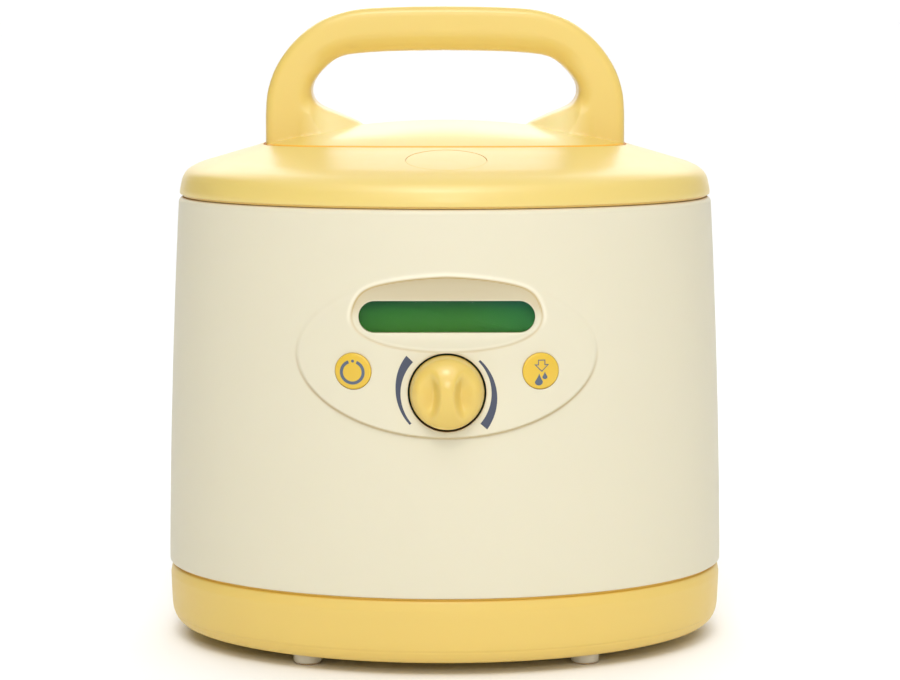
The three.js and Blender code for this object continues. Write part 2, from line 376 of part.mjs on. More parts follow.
  // release button: flush round cap, a retaining flange below the lid and a stem with a wedge end
  const inYZ = (points, hw) => solid(prism(shapeOf(points), 2 * hw).applyMatrix4(new THREE.Matrix4().makeBasis(new THREE.Vector3(0, 1, 0), new THREE.Vector3(0, 0, 1), new THREE.Vector3(1, 0, 0))).translate(-hw, 0, 0));
  const b = join(slab(RELEASE.r, -3.6, -0.05), slab(RELEASE.r + 1.5, -4.8, -3.3, 28), inYZ([[-54, 170.5], [-46.5, 170.5], [-46.5, 168.8], [-51.2, 163.4], [-54, 163.4]], 3));
  add(lid, "release_button", b, "yellow");

  // latch slider: plate in the rails, a ramp that the wedge pushes back, and the hook at the front
  let l = join(box(-16, 16, -60, -36, 160.2, 162.4), box(-5.5, 5.5, -62.6, -59.5, 150.6, 162.4), box(-5.5, 5.5, -65, -62.2, 150.6, 152.8), box(-5, 5, -37.2, -36, 161, 169));
  l = cut(l, box(-3.6, 3.6, -58, -51.8, 150, 170));
  l = join(l, inYZ([[-51.8, 162.2], [-46.8, 168], [-43.5, 168], [-43.5, 162.2]], 3));
  add(lid, "latch_slider", l, "grey");
  const coil = [];
  for (let i = 0; i <= 36; i++) { const t = i / 36, a = t * 2 * Math.PI * 3; coil.push(new THREE.Vector3(2.2 * Math.cos(a), -35.4 + 3.8 * t, 165.4 + 2.2 * Math.sin(a))); }
  add(lid, "latch_spring", solid(new THREE.ExtrudeGeometry(ovalShape(0.3, 0.3, 5), { steps: 30, bevelEnabled: false, extrudePath: new THREE.CatmullRomCurve3(coil) })), "steel");
}

export default root;
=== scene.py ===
import math
from itertools import product

import bmesh
import bpy
import numpy as np
from mathutils import Matrix, Vector


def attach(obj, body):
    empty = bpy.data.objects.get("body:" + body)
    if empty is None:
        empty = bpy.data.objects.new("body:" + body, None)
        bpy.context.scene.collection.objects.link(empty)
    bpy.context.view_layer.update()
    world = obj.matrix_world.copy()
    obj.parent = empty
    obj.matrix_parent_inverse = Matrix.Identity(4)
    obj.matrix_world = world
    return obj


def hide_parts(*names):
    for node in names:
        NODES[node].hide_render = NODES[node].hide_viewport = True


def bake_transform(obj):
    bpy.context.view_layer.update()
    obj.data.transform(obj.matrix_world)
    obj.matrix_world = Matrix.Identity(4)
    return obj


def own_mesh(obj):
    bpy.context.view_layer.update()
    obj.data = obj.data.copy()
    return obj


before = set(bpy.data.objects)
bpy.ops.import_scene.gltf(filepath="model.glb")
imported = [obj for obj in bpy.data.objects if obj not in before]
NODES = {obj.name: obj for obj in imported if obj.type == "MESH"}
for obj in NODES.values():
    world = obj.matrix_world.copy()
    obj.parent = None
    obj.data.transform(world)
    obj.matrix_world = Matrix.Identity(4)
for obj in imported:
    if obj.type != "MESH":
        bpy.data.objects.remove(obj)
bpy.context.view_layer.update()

DY = 4.8  # mm from the oval's centre to the middle of the object's depth; all sizes below are in mm from the oval's centre
RATIO = 0.81

# ------------------------------------------------------------------------------------------------ helpers


def smooth(t):
    t = np.clip(t, 0.0, 1.0)
    return t * t * (3 - 2 * t)


def interp(x, xs, ys):
    return np.interp(x, xs, ys)


def to_object(name, verts, faces, body, node=None, slot=None, material=None, angle=38, sharp=True):
    """verts in mm about the oval's centre -> a finished piece in metres in the row's frame."""
    v = np.asarray(verts, float).reshape(-1, 3).copy()
    v[:, 1] += DY
    v /= 1000.0
    me = bpy.data.meshes.new(name)
    me.from_pydata(v.tolist(), [], [list(map(int, f)) for f in faces])
    me.validate()
    me.update()
    ob = bpy.data.objects.new(name, me)
    bpy.context.scene.collection.objects.link(ob)
    finish_shading(ob, angle, sharp)
    if material is not None:
        me.materials.append(material)
    if body:
        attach(ob, body)
    if node:
        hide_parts(*([node] if isinstance(node, str) else node))
    return ob


def finish_shading(ob, angle=38, sharp=True):
    me = ob.data
    for p in me.polygons:
        p.use_smooth = True
    if sharp:
        me.set_sharp_from_angle(angle=math.radians(angle))


def grid_faces(rows, cols, wrap=True, flip=False, start=0):
    f = []
    last = cols if wrap else cols - 1
    for i in range(rows - 1):
        for j in range(last):
            k = (j + 1) % cols
            q = (start + i * cols + j, start + i * cols + k, start + (i + 1) * cols + k, start + (i + 1) * cols + j)
            f.append(q[::-1] if flip else q)
    return f


def fix_normals(ob):
    bm = bmesh.new()
    bm.from_mesh(ob.data)
    bmesh.ops.remove_doubles(bm, verts=bm.verts, dist=1e-7)
    bmesh.ops.recalc_face_normals(bm, faces=bm.faces)
    bm.to_mesh(ob.data)
    bm.free()


def raw(name, verts, faces):
    """A loose cutter or part, in mm about the oval's centre, turned into metres; no body yet."""
    v = np.asarray(verts, float).reshape(-1, 3).copy()
    v[:, 1] += DY
    v /= 1000.0
    me = bpy.data.meshes.new(name)
    me.from_pydata(v.tolist(), [], [list(map(int, f)) for f in faces])
    ob = bpy.data.objects.new(name, me)
    bpy.context.scene.collection.objects.link(ob)
    fix_normals(ob)
    return ob


def apply_all(ob):
    dg = bpy.context.evaluated_depsgraph_get()
    me = bpy.data.meshes.new_from_object(ob.evaluated_get(dg))
    old = ob.data
    ob.modifiers.clear()
    ob.data = me
    bpy.data.meshes.remove(old)


def boolean(ob, cutters, operation="DIFFERENCE"):
    for c in cutters:
        m = ob.modifiers.new("b", "BOOLEAN")
        m.operation = operation
        m.object = c
        m.solver = "MANIFOLD"
    bpy.context.view_layer.update()
    apply_all(ob)
    for c in cutters:
        me = c.data
        bpy.data.objects.remove(c)
        bpy.data.meshes.remove(me)
    return ob


def bevelled(ob, width, segments=2, angle=40):
    m = ob.modifiers.new("bevel", "BEVEL")
    m.width = width / 1000
    m.segments = segments
    m.limit_method = "ANGLE"
    m.angle_limit = math.radians(angle)
    m.harden_normals = False
    bpy.context.view_layer.update()
    apply_all(ob)
    return ob


def prism(outline, lo, hi, axis="y", name="prism"):
    """A closed outline of (u, v) points drawn out from lo to hi along an axis."""
    n = len(outline)
    vs = []
    for t in (lo, hi):
        for u, v in outline:
            vs.append({"y": (u, t, v), "z": (u, v, t), "x": (t, u, v)}[axis])
    faces = [tuple(range(n)), tuple(range(2 * n - 1, n - 1, -1))]
    for i in range(n):
        j = (i + 1) % n
        faces.append((i, j, n + j, n + i))
    return raw(name, vs, faces)


def block(x0, x1, y0, y1, z0, z1, name="block"):
    return prism([(x0, y0), (x1, y0), (x1, y1), (x0, y1)], z0, z1, "z", name)


def circle(r, n=48, u=0.0, v=0.0):
    return [(u + r * math.cos(2 * math.pi * i / n), v + r * math.sin(2 * math.pi * i / n)) for i in range(n)]


def rounded_rect(x0, x1, y0, y1, r, n=6):
    pts = []
    for cx, cy, a0 in ((x1 - r, y1 - r, 0), (x0 + r, y1 - r, 90), (x0 + r, y0 + r, 180), (x1 - r, y0 + r, 270)):
        for i in range(n + 1):
            a = math.radians(a0 + 90 * i / n)
            pts.append((cx + r * math.cos(a), cy + r * math.sin(a)))
    return pts


def stadium(hw, hh, z, n=24):
    pts = []
    for i in range(n + 1):
        t = -math.pi / 2 + math.pi * i / n
        pts.append((hw - hh + hh * math.cos(t), z + hh * math.sin(t)))
    for i in range(n + 1):
        t = math.pi / 2 + math.pi * i / n
        pts.append((-(hw - hh) + hh * math.cos(t), z + hh * math.sin(t)))
    return pts


def tube_between(p, q, r, n=24, name="tube"):
    """A closed cylinder-like cutter between two points."""
    p, q = Vector(p), Vector(q)
    w = (q - p).normalized()
    u = w.orthogonal().normalized()
    v = w.cross(u)
    vs, faces = [], []
    for base in (p, q):
        for i in range(n):
            a = 2 * math.pi * i / n
            vs.append(tuple(base + u * (r * math.cos(a)) + v * (r * math.sin(a))))
    faces = [tuple(range(n)), tuple(range(2 * n - 1, n - 1, -1))]
    for i in range(n):
        j = (i + 1) % n
        faces.append((i, j, n + j, n + i))
    return raw(name, vs, faces)


def lathe(profile, cx=0.0, cy=0.0, n=64, sy=1.0):
    """profile [(r, z)] from axis to axis, or a closed loop; returns verts, faces."""
    closed = profile[0] == profile[-1]
    pts = profile[:-1] if closed else profile
    vs, faces, ring = [], [], []
    for r, z in pts:
        if r < 1e-9:
            ring.append(len(vs))
            vs.append((cx, cy, z))
        else:
            ring.append((len(vs), n))
            for j in range(n):
                a = 2 * math.pi * j / n
                vs.append((cx + r * math.cos(a), cy + r * sy * math.sin(a), z))
    m = len(pts)
    for i in range(m if closed else m - 1):
        a, b = ring[i], ring[(i + 1) % m]
        for j in range(n):
            k = (j + 1) % n
            if isinstance(a, int) and isinstance(b, int):
                continue
            if isinstance(a, int):
                faces.append((a, b[0] + k, b[0] + j))
            elif isinstance(b, int):
                faces.append((a[0] + j, a[0] + k, b))
            else:
                faces.append((a[0] + j, a[0] + k, b[0] + k, b[0] + j))
    return vs, faces


def arc(cx, cz, r, a0, a1, n=6):
    return [(cx + r * math.cos(math.radians(a0 + (a1 - a0) * i / n)), cz + r * math.sin(math.radians(a0 + (a1 - a0) * i / n))) for i in range(n + 1)]


def catmull(points, per=6, closed=False):
    pts = [np.array(p, float) for p in points]
    n = len(pts)
    out = []
    rng = range(n) if closed else range(n - 1)
    for i in rng:
        if closed:
            p0, p1, p2, p3 = pts[(i - 1) % n], pts[i], pts[(i + 1) % n], pts[(i + 2) % n]
        else:
            p1, p2 = pts[i], pts[i + 1]
            p0 = pts[i - 1] if i > 0 else 2 * p1 - p2
            p3 = pts[i + 2] if i + 2 < n else 2 * p2 - p1
        for k in range(per):
            t = k / per
            out.append(tuple(0.5 * ((2 * p1) + (p2 - p0) * t + (2 * p0 - 5 * p1 + 4 * p2 - p3) * t * t + (3 * p1 - p0 - 3 * p2 + p3) * t ** 3)))
    if not closed:
        out.append(tuple(pts[-1]))
    return out


def poly_sdf(px, pz, poly):
    d = np.full(px.shape, 1e18)
    inside = np.zeros(px.shape, bool)
    n = len(poly)
    for i in range(n):
        x0, z0 = poly[i]
        x1, z1 = poly[(i + 1) % n]
        ex, ez = x1 - x0, z1 - z0
        l2 = ex * ex + ez * ez
        if l2 < 1e-12:
            continue
        wx, wz = px - x0, pz - z0
        t = np.clip((wx * ex + wz * ez) / l2, 0, 1)
        d = np.minimum(d, (wx - ex * t) ** 2 + (wz - ez * t) ** 2)
        if abs(ez) > 1e-12:
            cond = ((z0 <= pz) & (z1 > pz)) | ((z1 <= pz) & (z0 > pz))
            xi = x0 + (pz - z0) / ez * ex
            inside ^= cond & (px < xi)
    d = np.sqrt(d)
    return np.where(inside, -d, d)


def smin(a, b, k):
    h = np.clip(0.5 + 0.5 * (b - a) / k, 0, 1)
    return b * (1 - h) + a * h - k * h * (1 - h)


def smax(a, b, k):
    return -smin(-a, -b, k)


def surface_nets(f, lo, hi, h):
    """The zero surface of f(x, y, z), negative inside, as quads whose vertices are moved onto it."""
    ax = [np.arange(lo[i], hi[i] + h, h) for i in range(3)]
    X, Y, Z = np.meshgrid(*ax, indexing="ij")
    F = f(X, Y, Z)
    s = F < 0
    nx, ny, nz = F.shape
    corner = {c: (slice(c[0], nx - 1 + c[0]), slice(c[1], ny - 1 + c[1]), slice(c[2], nz - 1 + c[2])) for c in product((0, 1), repeat=3)}
    count = sum(s[v].astype(np.int8) for v in corner.values())
    active = (count > 0) & (count < 8)
    index = -np.ones(active.shape, np.int64)
    index[active] = np.arange(int(active.sum()))
    I, J, K = np.nonzero(active)
    pos = np.zeros((len(I), 3))
    num = np.zeros(len(I))
    for a in product((0, 1), repeat=3):
        for d in range(3):
            if a[d]:
                continue
            b = list(a)
            b[d] = 1
            fa, fb = F[corner[a]][active], F[corner[tuple(b)]][active]
            cross = (fa < 0) != (fb < 0)
            t = np.where(cross, fa / np.where(cross, fa - fb, 1), 0)
            p = np.tile(np.array(a, float), (len(I), 1))
            p[:, d] += t
            pos[cross] += p[cross]
            num[cross] += 1
    pos /= num[:, None]
    P = np.stack([ax[0][I], ax[1][J], ax[2][K]], 1) + pos * h
    quads = []
    for d in range(3):
        u, v = (d + 1) % 3, (d + 2) % 3
        sl0 = [slice(None)] * 3
        sl1 = [slice(None)] * 3
        sl0[d] = slice(0, -1)
        sl1[d] = slice(1, None)
        cross = s[tuple(sl0)] != s[tuple(sl1)]
        inner = [slice(1, -1)] * 3
        inner[d] = slice(None)
        sub = cross[tuple(inner)]
        idx = np.array(np.nonzero(sub))
        for w in (u, v):
            idx[w] += 1
        first = s[tuple(sl0)][tuple(inner)][sub]
        c = []
        for du, dv in ((0, 0), (-1, 0), (-1, -1), (0, -1)):
            q = idx.copy()
            q[u] += du
            q[v] += dv
            c.append(index[tuple(q)])
        c = np.stack(c, 1)
        c[~first] = c[~first][:, ::-1]
        quads.append(c)
    Q = np.concatenate(quads)
    e = h * 0.02
    for _ in range(4):
        v0 = f(P[:, 0], P[:, 1], P[:, 2])
        g = np.stack([(f(P[:, 0] + e * (i == 0), P[:, 1] + e * (i == 1), P[:, 2] + e * (i == 2)) - f(P[:, 0] - e * (i == 0), P[:, 1] - e * (i == 1), P[:, 2] - e * (i == 2))) / (2 * e) for i in range(3)], 1)
        n2 = (g * g).sum(1)
        step = (v0 / np.maximum(n2, 0.05))[:, None] * g
        ln = np.linalg.norm(step, axis=1)
        cap = np.minimum(1, 0.4 * h / np.maximum(ln, 1e-9))
        P = P - step * cap[:, None]
    return P, Q


# ------------------------------------------------------------------------------------------------ camera, light, floor
scene = bpy.context.scene
cam_data = bpy.data.cameras.new("camera")
cam_data.lens = 115.712
cam_data.sensor_width = 36.0
cam_data.clip_start = 0.01
cam_data.clip_end = 50.0
cam = bpy.data.objects.new("camera", cam_data)
cam.location = (-0.0091, -1.0380, 0.22707)
cam.rotation_euler = (math.radians(83.4086), 0.0, math.radians(-0.601))
scene.collection.objects.link(cam)
scene.camera = cam
scene.view_settings.view_transform = "Standard"
scene.view_settings.look = "None"


def area(name, loc, target, sx, sy, power, color=(1, 1, 1)):
    d = bpy.data.lights.new(name, "AREA")
    d.shape = "RECTANGLE"
    d.size, d.size_y = sx, sy
    d.energy = power
    d.color = color
    o = bpy.data.objects.new(name, d)
    o.location = loc
    o.rotation_euler = (Vector(target) - Vector(loc)).to_track_quat("-Z", "Y").to_euler()
    scene.collection.objects.link(o)
    return o


sun_data = bpy.data.lights.new("sky_panel", "SUN")
sun_data.energy = 1.02
sun_data.angle = math.radians(46)
sun_data.color = (1.0, 0.995, 0.985)
sun = bpy.data.objects.new("sky_panel", sun_data)
sun.rotation_euler = Vector((0.03, 0.62, -0.78)).to_track_quat("-Z", "Y").to_euler()
scene.collection.objects.link(sun)
area("spot_panel", (-0.05, -1.15, 1.30), (0, 0, 0.13), 0.34, 0.26, 4.15, (1.0, 0.995, 0.985))
area("glint_panel", (0.015, -1.12, 0.475), (0, -0.09, 0.10), 0.05, 0.07, 1.25, (1.0, 0.995, 0.985))

world = bpy.data.worlds.new("studio")
scene.world = world
world.use_nodes = True
wn, wl = world.node_tree.nodes, world.node_tree.links
w_sep = wn.new("ShaderNodeSeparateXYZ")
wl.new(wn.new("ShaderNodeTexCoord").outputs["Generated"], w_sep.inputs["Vector"])


def w_math(op, p, q):
    n = wn.new("ShaderNodeMath")
    n.operation = op
    for i, v in enumerate((p, q)):
        if isinstance(v, (int, float)):
            n.inputs[i].default_value = v
        else:
            wl.new(v, n.inputs[i])
    return n.outputs[0]


def w_step(v, lo, hi):
    n = wn.new("ShaderNodeMapRange")
    n.interpolation_type = "SMOOTHSTEP"
    n.inputs["From Min"].default_value = lo
    n.inputs["From Max"].default_value = hi
    wl.new(v, n.inputs["Value"])
    return n.outputs["Result"]


def w_mix(p, q, f):
    return w_math("ADD", w_math("MULTIPLY", w_math("SUBTRACT", q, p), f), p)


# a white tent round the table: bright behind and above, softer in front, dim cloth at the two sides
WX, WY, WZ = w_sep.outputs
w_back = w_mix(1.27, 2.70, w_step(WZ, 0.28, 0.45))
w_tent = w_mix(0.50, w_back, w_step(WY, -0.1, 0.1))
w_tent = w_mix(w_mix(w_tent, 0.03, w_step(w_math("MULTIPLY", WX, -1.0), 0.38, 0.68)), 0.33, w_step(WX, 0.38, 0.68))
w_tent = w_mix(w_tent, w_mix(0.84, 0.72, w_step(WY, -0.12, 0.12)), w_step(WZ, 0.62, 0.85))
w_tent = w_mix(w_tent, 1.25, wn.new("ShaderNodeLightPath").outputs["Is Camera Ray"])  # the backdrop itself is plain white from every side
w_col = wn.new("ShaderNodeCombineXYZ")
for i in range(3):
    wl.new(w_tent, w_col.inputs[i])
wl.new(w_col.outputs[0], wn["Background"].inputs[0])
wn["Background"].inputs[1].default_value = 1.0


# ------------------------------------------------------------------------------------------------ materials
def lin(c):
    c = c / 255.0
    return c / 12.92 if c <= 0.04045 else ((c + 0.055) / 1.055) ** 2.4


def rgb(r, g, b):
    return (lin(r), lin(g), lin(b), 1.0)


def shade(c, k):
    return tuple(min(1.0, v * k) for v in c[:3]) + (1.0,)


def set_in(node, name, value):
    if name in node.inputs:
        node.inputs[name].default_value = value


def finish_of(name, color, rough=0.45, metal=0.0, grain=2400.0, grain_depth=0.00004, grain_strength=0.25, wave=0.0,
              crease_shade=None, crease_shade_from=0.0, crease_shade_size=0.004, vary=0.03, vary_scale=14.0, sss=0.0, sss_radius=(1.0, 0.6, 0.25), sss_scale=0.002,
              spec=0.5, coat=0.0, coat_rough=0.2, transmission=0.0, ior=1.46, emission=None, strength=0.0, aniso=0.0, speck=None, stretch=(1, 1, 1), rough_vary=0.05, painted_shade=None, painted_light=None, seam_shade_line=None):
    """A procedural finish: broad colour drift, grain in bump and roughness, painted shade that gathers in the creases,
    and, when given, painted shade and painted highlight from vertex tones and a painted shade line along a seam.
    """
    m = bpy.data.materials.new(name)
    m.use_nodes = True
    nt = m.node_tree
    nodes, links = nt.nodes, nt.links
    bsdf = nodes["Principled BSDF"]
    m.diffuse_color = color
    tc = nodes.new("ShaderNodeTexCoord")
    mp = nodes.new("ShaderNodeMapping")
    mp.inputs["Scale"].default_value = stretch
    links.new(tc.outputs["Object"], mp.inputs["Vector"])
    n1 = nodes.new("ShaderNodeTexNoise")
    n1.inputs["Scale"].default_value = vary_scale
    n1.inputs["Detail"].default_value = 3.0
    links.new(mp.outputs["Vector"], n1.inputs["Vector"])
    ramp = nodes.new("ShaderNodeValToRGB")
    ramp.color_ramp.elements[0].position = 0.3
    ramp.color_ramp.elements[0].color = shade(color, 1 - vary)
    ramp.color_ramp.elements[1].position = 0.7
    ramp.color_ramp.elements[1].color = shade(color, 1 + vary * 0.6)
    links.new(n1.outputs["Fac"], ramp.inputs["Fac"])
    col = ramp.outputs["Color"]
    if speck is not None:
        ns = nodes.new("ShaderNodeTexNoise")
        ns.inputs["Scale"].default_value = grain * 0.5
        ns.inputs["Detail"].default_value = 1.0
        links.new(tc.outputs["Object"], ns.inputs["Vector"])
        rs = nodes.new("ShaderNodeMapRange")
        rs.inputs["From Min"].default_value = 0.62
        rs.inputs["From Max"].default_value = 0.78
        links.new(ns.outputs["Fac"], rs.inputs["Value"])
        mx = nodes.new("ShaderNodeMix")
        mx.data_type = "RGBA"
        links.new(rs.outputs["Result"], mx.inputs["Factor"])
        links.new(col, mx.inputs["A"])
        mx.inputs["B"].default_value = speck
        col = mx.outputs["Result"]
    if crease_shade is not None:
        # painted shade: the crease tone is mixed in where ambient occlusion finds a crease, a hollow or a gap between
        # parts
        ao = nodes.new("ShaderNodeAmbientOcclusion")
        ao.samples = 8
        ao.inputs["Distance"].default_value = crease_shade_size
        mr = nodes.new("ShaderNodeMapRange")
        mr.inputs["From Min"].default_value = 0.12
        mr.inputs["From Max"].default_value = 0.72
        mr.inputs["To Min"].default_value = 1.0
        mr.inputs["To Max"].default_value = crease_shade_from
        links.new(ao.outputs["AO"], mr.inputs["Value"])
        mx = nodes.new("ShaderNodeMix")
        mx.data_type = "RGBA"
        links.new(mr.outputs["Result"], mx.inputs["Factor"])
        links.new(col, mx.inputs["A"])
        mx.inputs["B"].default_value = crease_shade
        col = mx.outputs["Result"]
    for key, tone in (("painted_shade", painted_shade), ("painted_light", painted_light)):  # painted shade and painted highlight per vertex: a darker tone where a recess or step falls into shade, a lighter one where a lip or slope catches the light
        if tone is None:
            continue
        at = nodes.new("ShaderNodeAttribute")
        at.attribute_name = key
        mx = nodes.new("ShaderNodeMix")
        mx.data_type = "RGBA"
        links.new(at.outputs["Fac"], mx.inputs["Factor"])
        links.new(col, mx.inputs["A"])
        mx.inputs["B"].default_value = tone
        col = mx.outputs["Result"]
    if seam_shade_line is not None:  # painted shade: a darker line along the edge where the piece meets its seat
        z_lo, z_hi, tone = seam_shade_line
        sp = nodes.new("ShaderNodeSeparateXYZ")
        links.new(tc.outputs["Object"], sp.inputs["Vector"])
        mz = nodes.new("ShaderNodeMapRange")
        mz.interpolation_type = "SMOOTHSTEP"
        mz.inputs["From Min"].default_value = z_lo
        mz.inputs["From Max"].default_value = z_hi
        mz.inputs["To Min"].default_value = 0.92
        mz.inputs["To Max"].default_value = 0.0
        links.new(sp.outputs["Z"], mz.inputs["Value"])
        mx = nodes.new("ShaderNodeMix")
        mx.data_type = "RGBA"
        links.new(mz.outputs["Result"], mx.inputs["Factor"])
        links.new(col, mx.inputs["A"])
        mx.inputs["B"].default_value = tone
        col = mx.outputs["Result"]
    links.new(col, bsdf.inputs["Base Color"])
    n2 = nodes.new("ShaderNodeTexNoise")
    n2.inputs["Scale"].default_value = grain
    n2.inputs["Detail"].default_value = 2.5
    n2.inputs["Roughness"].default_value = 0.6
    links.new(mp.outputs["Vector"], n2.inputs["Vector"])
    bump = nodes.new("ShaderNodeBump")
    bump.inputs["Strength"].default_value = grain_strength
    bump.inputs["Distance"].default_value = grain_depth
    links.new(n2.outputs["Fac"], bump.inputs["Height"])
    if wave:
        n4 = nodes.new("ShaderNodeTexNoise")
        n4.inputs["Scale"].default_value = 38.0
        n4.inputs["Detail"].default_value = 1.0
        links.new(tc.outputs["Object"], n4.inputs["Vector"])
        b2 = nodes.new("ShaderNodeBump")
        b2.inputs["Strength"].default_value = 1.0
        b2.inputs["Distance"].default_value = wave
        links.new(n4.outputs["Fac"], b2.inputs["Height"])
        links.new(b2.outputs["Normal"], bump.inputs["Normal"])
    links.new(bump.outputs["Normal"], bsdf.inputs["Normal"])
    n3 = nodes.new("ShaderNodeTexNoise")
    n3.inputs["Scale"].default_value = grain * 0.12
    n3.inputs["Detail"].default_value = 3.0
    links.new(mp.outputs["Vector"], n3.inputs["Vector"])
    rr = nodes.new("ShaderNodeMapRange")
    rr.inputs["To Min"].default_value = max(0.02, rough - rough_vary)
    rr.inputs["To Max"].default_value = min(1.0, rough + rough_vary)
    links.new(n3.outputs["Fac"], rr.inputs["Value"])
    links.new(rr.outputs["Result"], bsdf.inputs["Roughness"])
    bsdf.inputs["Metallic"].default_value = metal
    set_in(bsdf, "Specular IOR Level", spec)
    set_in(bsdf, "IOR", ior)
    set_in(bsdf, "Coat Weight", coat)
    set_in(bsdf, "Coat Roughness", coat_rough)
    set_in(bsdf, "Transmission Weight", transmission)
    set_in(bsdf, "Anisotropic", aniso)
    if sss:
        set_in(bsdf, "Subsurface Weight", sss)
        set_in(bsdf, "Subsurface Radius", sss_radius)
        set_in(bsdf, "Subsurface Scale", sss_scale)
    if emission is not None:
        set_in(bsdf, "Emission Color", emission)
        set_in(bsdf, "Emission Strength", strength)
    return m


# the orange below and every crease tone in this table are painted shade, gathered in creases, hollows and gaps between
# parts
CREASE_SHADE_ORANGE = rgb(235, 165, 24)
M = {}
# the housing's darker vertex tone is painted shade on the display's recess, its edge and the step under the raised
# oval; its lighter vertex tone is painted highlight round the recess's upper edge and on its lower wall
M["housing"] = finish_of("housing_satin", rgb(225, 218, 192), rough=0.47, grain=2600, grain_depth=0.00003, wave=0.00003, crease_shade=rgb(184, 156, 94), crease_shade_size=0.0022, crease_shade_from=0.0,
                         vary=0.012, vary_scale=10, sss=0.08, spec=0.42, painted_shade=rgb(176, 140, 50), painted_light=rgb(248, 241, 218))
M["yellow"] = finish_of("yellow_satin", rgb(231, 204, 116), rough=0.40, grain=2600, grain_depth=0.00003, wave=0.00003, crease_shade=CREASE_SHADE_ORANGE, crease_shade_size=0.0035, vary=0.015, vary_scale=12, sss=0.10,
                        sss_radius=(1.0, 0.55, 0.12), spec=0.45)
M["lid"] = finish_of("lid_satin", rgb(232, 206, 119), rough=0.40, grain=2600, grain_depth=0.00003, wave=0.00003, crease_shade=CREASE_SHADE_ORANGE, crease_shade_size=0.0035, vary=0.015, vary_scale=12, sss=0.10,
                     sss_radius=(1.0, 0.55, 0.12), spec=0.6, coat=0.4, coat_rough=0.30)
# the base carries a painted shade line along its top edge, under its seam with the housing, and painted shade in its
# creases
M["base"] = finish_of("base_satin", rgb(230, 199, 109), seam_shade_line=(0.02668, 0.02605, rgb(226, 178, 66)), rough=0.40, grain=2600, grain_depth=0.00003, wave=0.00003, crease_shade=CREASE_SHADE_ORANGE, crease_shade_size=0.0035, vary=0.015, vary_scale=12, sss=0.10,
                      sss_radius=(1.0, 0.55, 0.12), spec=0.45)
# the handle carries painted highlight on its dome and flared feet, a painted shade line where it meets the lid and
# painted shade in its creases
M["handle"] = finish_of("handle_satin", rgb(231, 202, 110), painted_light=rgb(255, 246, 196), rough=0.36, coat=0.4, coat_rough=0.30, seam_shade_line=(0.17825, 0.17862, rgb(252, 186, 30)), grain=2600, grain_depth=0.000025, wave=0.00003, crease_shade=CREASE_SHADE_ORANGE, crease_shade_size=0.0035, vary=0.015, vary_scale=12, sss=0.12,
                        sss_radius=(1.0, 0.55, 0.12), spec=0.48)
M["knob"] = finish_of("knob_satin", rgb(226, 196, 104), rough=0.24, grain=3200, grain_depth=0.00002, crease_shade=CREASE_SHADE_ORANGE, crease_shade_size=0.002, vary=0.02, vary_scale=40, sss=0.15, sss_radius=(1.0, 0.55, 0.12), spec=0.5)
M["button"] = finish_of("button_satin", rgb(228, 190, 66), rough=0.34, grain=3600, grain_depth=0.00002, crease_shade=rgb(222, 172, 44), crease_shade_size=0.0006, vary=0.02, vary_scale=60, sss=0.2, sss_radius=(1.0, 0.5, 0.1), spec=0.5)
M["mark"] = finish_of("printed_marks", rgb(72, 78, 96), rough=0.55, grain=5200, grain_depth=0.00001, vary=0.06, vary_scale=300)
M["icon"] = finish_of("printed_icons", rgb(92, 104, 122), rough=0.5, grain=5200, grain_depth=0.00001, vary=0.06, vary_scale=300)
M["foot"] = finish_of("clear_bumper", rgb(252, 247, 232), rough=0.12, grain=900, grain_depth=0.00001, crease_shade=rgb(214, 156, 56), crease_shade_size=0.0012, transmission=0.25, ior=1.43, vary=0.01, rough_vary=0.03)
M["deck"] = finish_of("deck_satin", rgb(240, 206, 112), rough=0.5, grain=1800, grain_depth=0.00006, grain_strength=0.5, crease_shade=CREASE_SHADE_ORANGE, crease_shade_size=0.004, vary=0.02, vary_scale=16, sss=0.05)
M["rubber"] = finish_of("membrane_rubber", rgb(233, 226, 207), rough=0.68, grain=1500, grain_depth=0.00006, grain_strength=0.4, crease_shade=rgb(170, 150, 112), crease_shade_size=0.003, vary=0.03, vary_scale=50, sss=0.25, spec=0.35)
M["steel"] = finish_of("plated_steel", rgb(188, 190, 194), rough=0.28, metal=1.0, grain=900, grain_depth=0.00002, vary=0.05, vary_scale=90, rough_vary=0.1, aniso=0.3, stretch=(1, 1, 5))
M["brass"] = finish_of("turned_brass", rgb(201, 168, 86), rough=0.26, metal=1.0, grain=1200, grain_depth=0.00002, vary=0.06, vary_scale=90, rough_vary=0.08, aniso=0.3, stretch=(1, 1, 6))
M["grey"] = finish_of("glass_filled_grey", rgb(150, 152, 154), rough=0.58, grain=1200, grain_depth=0.00008, grain_strength=0.5, vary=0.06, vary_scale=60, speck=rgb(182, 184, 186), stretch=(1, 3, 1))
M["black"] = finish_of("black_moulding", rgb(38, 39, 43), rough=0.5, grain=1500, grain_depth=0.00006, grain_strength=0.5, vary=0.12, vary_scale=60)
M["belt"] = finish_of("belt_rubber", rgb(27, 27, 28), rough=0.82, grain=1600, grain_depth=0.0001, grain_strength=0.6, vary=0.15, vary_scale=200, spec=0.3)
M["board"] = finish_of("lacquered_board", rgb(38, 98, 52), rough=0.34, grain=700, grain_depth=0.00003, vary=0.2, vary_scale=260, speck=rgb(176, 158, 84), coat=0.3)
M["card"] = finish_of("card_satin", rgb(240, 198, 80), rough=0.42, grain=2400, grain_depth=0.00003, crease_shade=CREASE_SHADE_ORANGE, crease_shade_size=0.002, vary=0.02, sss=0.08)
M["encoder"] = finish_of("encoder_brown", rgb(52, 34, 24), rough=0.7, grain=1200, grain_depth=0.00008, vary=0.12, vary_scale=120)


